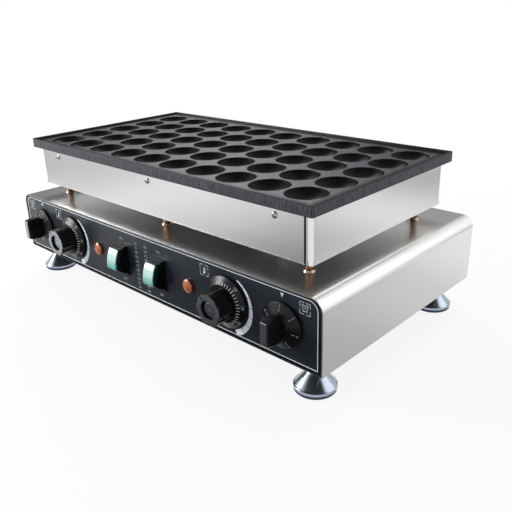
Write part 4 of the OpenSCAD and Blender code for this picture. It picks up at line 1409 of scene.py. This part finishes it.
# 1 for what the camera, a mirror or glass sees.
def pathFactor(tree):
    path = tree.nodes.new("ShaderNodeLightPath")
    first = tree.nodes.new("ShaderNodeMath")
    second = tree.nodes.new("ShaderNodeMath")
    first.operation = second.operation = "MAXIMUM"
    tree.links.new(path.outputs["Is Camera Ray"], first.inputs[0])
    tree.links.new(path.outputs["Is Glossy Ray"], first.inputs[1])
    tree.links.new(first.outputs[0], second.inputs[0])
    tree.links.new(path.outputs["Is Transmission Ray"], second.inputs[1])
    return second.outputs[0]


def buildWorld():
    world = bpy.data.worlds.new("studioWorld")
    scene.world = world
    world.use_nodes = True
    tree = world.node_tree
    tree.nodes.clear()
    soft = tree.nodes.new("ShaderNodeBackground")
    soft.inputs["Color"].default_value = (0.96, 0.98, 1.0, 1)
    soft.inputs["Strength"].default_value = studio["worldLight"]
    white = tree.nodes.new("ShaderNodeBackground")
    white.inputs["Color"].default_value = (1, 1, 1, 1)
    white.inputs["Strength"].default_value = 1.0
    mix = tree.nodes.new("ShaderNodeMixShader")
    tree.links.new(pathFactor(tree), mix.inputs[0])
    tree.links.new(soft.outputs[0], mix.inputs[1])
    tree.links.new(white.outputs[0], mix.inputs[2])
    out = tree.nodes.new("ShaderNodeOutputWorld")
    tree.links.new(mix.outputs[0], out.inputs[0])


def buildFloor():
    half, z = studio["floorSize"] / 2, -studio["floorDrop"]
    mesh = bpy.data.meshes.new("floor")
    mesh.from_pydata([(-half, -half, z), (half, -half, z), (half, half, z), (-half, half, z)],
                     [], [(0, 1, 2, 3)])
    floor = bpy.data.objects.new("floor", mesh)
    scene.collection.objects.link(floor)
    material = bpy.data.materials.new("floorPaper")
    material.use_nodes = True
    tree = material.node_tree
    shader = tree.nodes["Principled BSDF"]
    shader.inputs["Base Color"].default_value = (*[studio["floorGrey"]] * 3, 1)
    shader.inputs["Roughness"].default_value = 0.9
    shader.inputs["Specular IOR Level"].default_value = 0.1
    glow = tree.nodes.new("ShaderNodeEmission")
    glow.inputs["Color"].default_value = (1, 1, 1, 1)
    glow.inputs["Strength"].default_value = 1.0
    spot = tree.nodes.new("ShaderNodeTexCoord")
    distance = tree.nodes.new("ShaderNodeVectorMath")
    distance.operation = "LENGTH"
    reach = tree.nodes.new("ShaderNodeMapRange")
    reach.interpolation_type = "SMOOTHSTEP"
    for name, value in (("From Min", studio["glowFrom"]), ("From Max", studio["glowTo"]),
                        ("To Min", studio["floorGlow"]), ("To Max", 1.0)):
        reach.inputs[name].default_value = value
    tree.links.new(spot.outputs["Object"], distance.inputs[0])
    tree.links.new(distance.outputs["Value"], reach.inputs["Value"])
    share = multiply(tree, pathFactor(tree), reach.outputs[0])
    mix = tree.nodes.new("ShaderNodeMixShader")
    tree.links.new(share, mix.inputs[0])
    tree.links.new(shader.outputs[0], mix.inputs[1])
    tree.links.new(glow.outputs[0], mix.inputs[2])
    tree.links.new(mix.outputs[0], tree.nodes["Material Output"].inputs[0])
    mesh.materials.append(material)


studioLamps = {
    "keyLight": {"at": (-1.0, -0.95, 0.5), "towards": (0, -0.1, 0.1), "size": (0.6, 0.5),
                 "power": 15},
    "windowLight": {"at": (-1.1, 1.0, 1.15), "towards": (0, 0, 0.15), "size": (0.7, 0.7),
                    "power": 17},
    "sideLight": {"at": (1.5, 0.8, 1.0), "towards": (0.2, 0, 0.1), "size": (1.6, 1.2),
                  "power": 6},
    "topLight": {"at": (0.1, 0.3, 2.0), "towards": (0, 0, 0.1), "size": (1.6, 1.0),
                 "power": 5},
}


def addLamp(name, lamp):
    light = bpy.data.lights.new(name, "AREA")
    light.shape, light.energy = "RECTANGLE", lamp["power"]
    light.size, light.size_y = lamp["size"]
    holder = bpy.data.objects.new(name, light)
    scene.collection.objects.link(holder)
    holder.location = lamp["at"]
    way = Vector(lamp["towards"]) - Vector(lamp["at"])
    holder.rotation_euler = way.to_track_quat("-Z", "Y").to_euler()


# Cards and dark flags that only mirrors see. Stops are (metres along the card, brightness);
# a rise does the same across it or upwards, and the brighter of the two counts.
mirrorCards = {
    "frontCard": {"at": (0, -0.64, 0), "turn": 0, "flat": (-1.4, 0.25, -0.26, 0.26),
                  "stops": ((-1.4, 0.5), (-0.92, 0.47), (-0.70, 0.63), (-0.47, 1.0),
                            (-0.245, 0.8), (-0.02, 0.42), (0.06, 0.3), (0.25, 0.6))},
    "panelCard": {"at": (0, -0.28, 0), "turn": 0, "flat": (-1.1, 0.3, -0.1, 0.1),
                  "stops": ((-1.1, 1.0), (-0.5, 1.0), (-0.36, 0.8), (-0.2, 0.35), (0.0, 0.07),
                            (0.3, 0.03))},
    "sideNearCard": {"at": (0.38, 0.15, 0), "turn": 90, "flat": (-0.45, 0.45, -0.08, 0.08),
                     "stops": ((-0.45, 0.45), (-0.21, 0.48), (-0.01, 0.69), (0.19, 0.93),
                               (0.45, 1.0))},
    "sideFarCard": {"at": (0.68, 0.45, 0), "turn": 90, "flat": (-0.55, 0.55, -0.22, 0.22),
                    "stops": ((-0.55, 0.8), (-0.35, 0.5), (-0.24, 0.52), (-0.01, 1.0),
                              (0.22, 0.45), (0.55, 0.4))},
    "backFlag": {"at": (-1.04, 1.08, 0), "turn": 43.8, "upright": (-1.8, 1.8, 1.7),
                 "stops": ((-1.8, 0.45), (-0.81, 0.06), (-0.25, 0.06), (0.26, 0.06), (0.81, 0.2),
                           (1.8, 0.6)),
                 "rise": ((0, 0), (0.65, 0), (0.95, 0.35), (1.25, 0.8), (1.7, 1.0))},
    "topFlag": {"at": (0.6, -0.7, 1.9), "turn": 0, "flat": (-2.2, 2.4, -2.4, 1.6),
                "stops": ((-2.2, 1.0), (-1.6, 0.4), (-1.1, 0.05), (1.6, 0.04), (2.4, 0.6)),
                "rise": ((-2.4, 0.8), (-1.6, 0.1), (-1.1, 0), (0.9, 0), (1.6, 1.0))},
}


def buildCard(name, card):
    if "flat" in card:
        (u0, u1, v0, v1), across = card["flat"], 1
        corners = [(u0, v0, 0), (u1, v0, 0), (u1, v1, 0), (u0, v1, 0)]
    else:
        (u0, u1, v1), v0, across = card["upright"], 0, 2
        corners = [(u0, 0, 0), (u1, 0, 0), (u1, 0, v1), (u0, 0, v1)]
    mesh = bpy.data.meshes.new(name)
    mesh.from_pydata(corners, [], [(0, 1, 2, 3)])
    holder = bpy.data.objects.new(name, mesh)
    scene.collection.objects.link(holder)
    holder.location = card["at"]
    holder.rotation_euler = (0, 0, math.radians(card["turn"]))
    material = bpy.data.materials.new(name)
    material.use_nodes = True
    tree = material.node_tree
    tree.nodes.remove(tree.nodes["Principled BSDF"])
    stops = [((u - u0) / (u1 - u0), (grey, grey, grey)) for u, grey in card["stops"]]
    light = rampAlong(tree, 0, u0, u1, stops)
    if "rise" in card:
        steps = [((v - v0) / (v1 - v0), (grey, grey, grey)) for v, grey in card["rise"]]
        brighter = tree.nodes.new("ShaderNodeVectorMath")
        brighter.operation = "MAXIMUM"
        tree.links.new(light, brighter.inputs[0])
        tree.links.new(rampAlong(tree, across, v0, v1, steps), brighter.inputs[1])
        light = brighter.outputs[0]
    glow = tree.nodes.new("ShaderNodeEmission")
    tree.links.new(light, glow.inputs["Color"])
    tree.links.new(glow.outputs[0], tree.nodes["Material Output"].inputs[0])
    mesh.materials.append(material)
    for kind in ("camera", "diffuse", "transmission", "volume_scatter", "shadow"):
        setattr(holder, "visible_" + kind, False)


buildWorld()
buildFloor()
for name, card in mirrorCards.items():
    buildCard(name, card)
for name, lamp in studioLamps.items():
    addLamp(name, lamp)

cameraView = {"at": (0.6122, -0.5747, 0.3910), "yaw": 44.03, "pitch": -22.56, "roll": -1.86,
              "lens": 42.81}


def buildCamera(view):
    yaw, pitch, roll = (math.radians(view[k]) for k in ("yaw", "pitch", "roll"))
    ahead = Vector((-math.sin(yaw) * math.cos(pitch), math.cos(yaw) * math.cos(pitch),
                    math.sin(pitch)))
    right = Vector((math.cos(yaw), math.sin(yaw), 0))
    up = right.cross(ahead)
    across = right * math.cos(roll) + up * math.sin(roll)
    upward = up * math.cos(roll) - right * math.sin(roll)
    data = bpy.data.cameras.new("photoCamera")
    data.lens, data.sensor_width, data.sensor_fit = view["lens"], 36.0, "HORIZONTAL"
    data.clip_start = 0.01
    camera = bpy.data.objects.new("photoCamera", data)
    scene.collection.objects.link(camera)
    turn = Matrix((across, upward, -ahead)).transposed().to_4x4()
    camera.matrix_world = Matrix.Translation(view["at"]) @ turn
    scene.camera = camera


buildCamera(cameraView)
scene.view_settings.view_transform = "Standard"

print("scene ready")
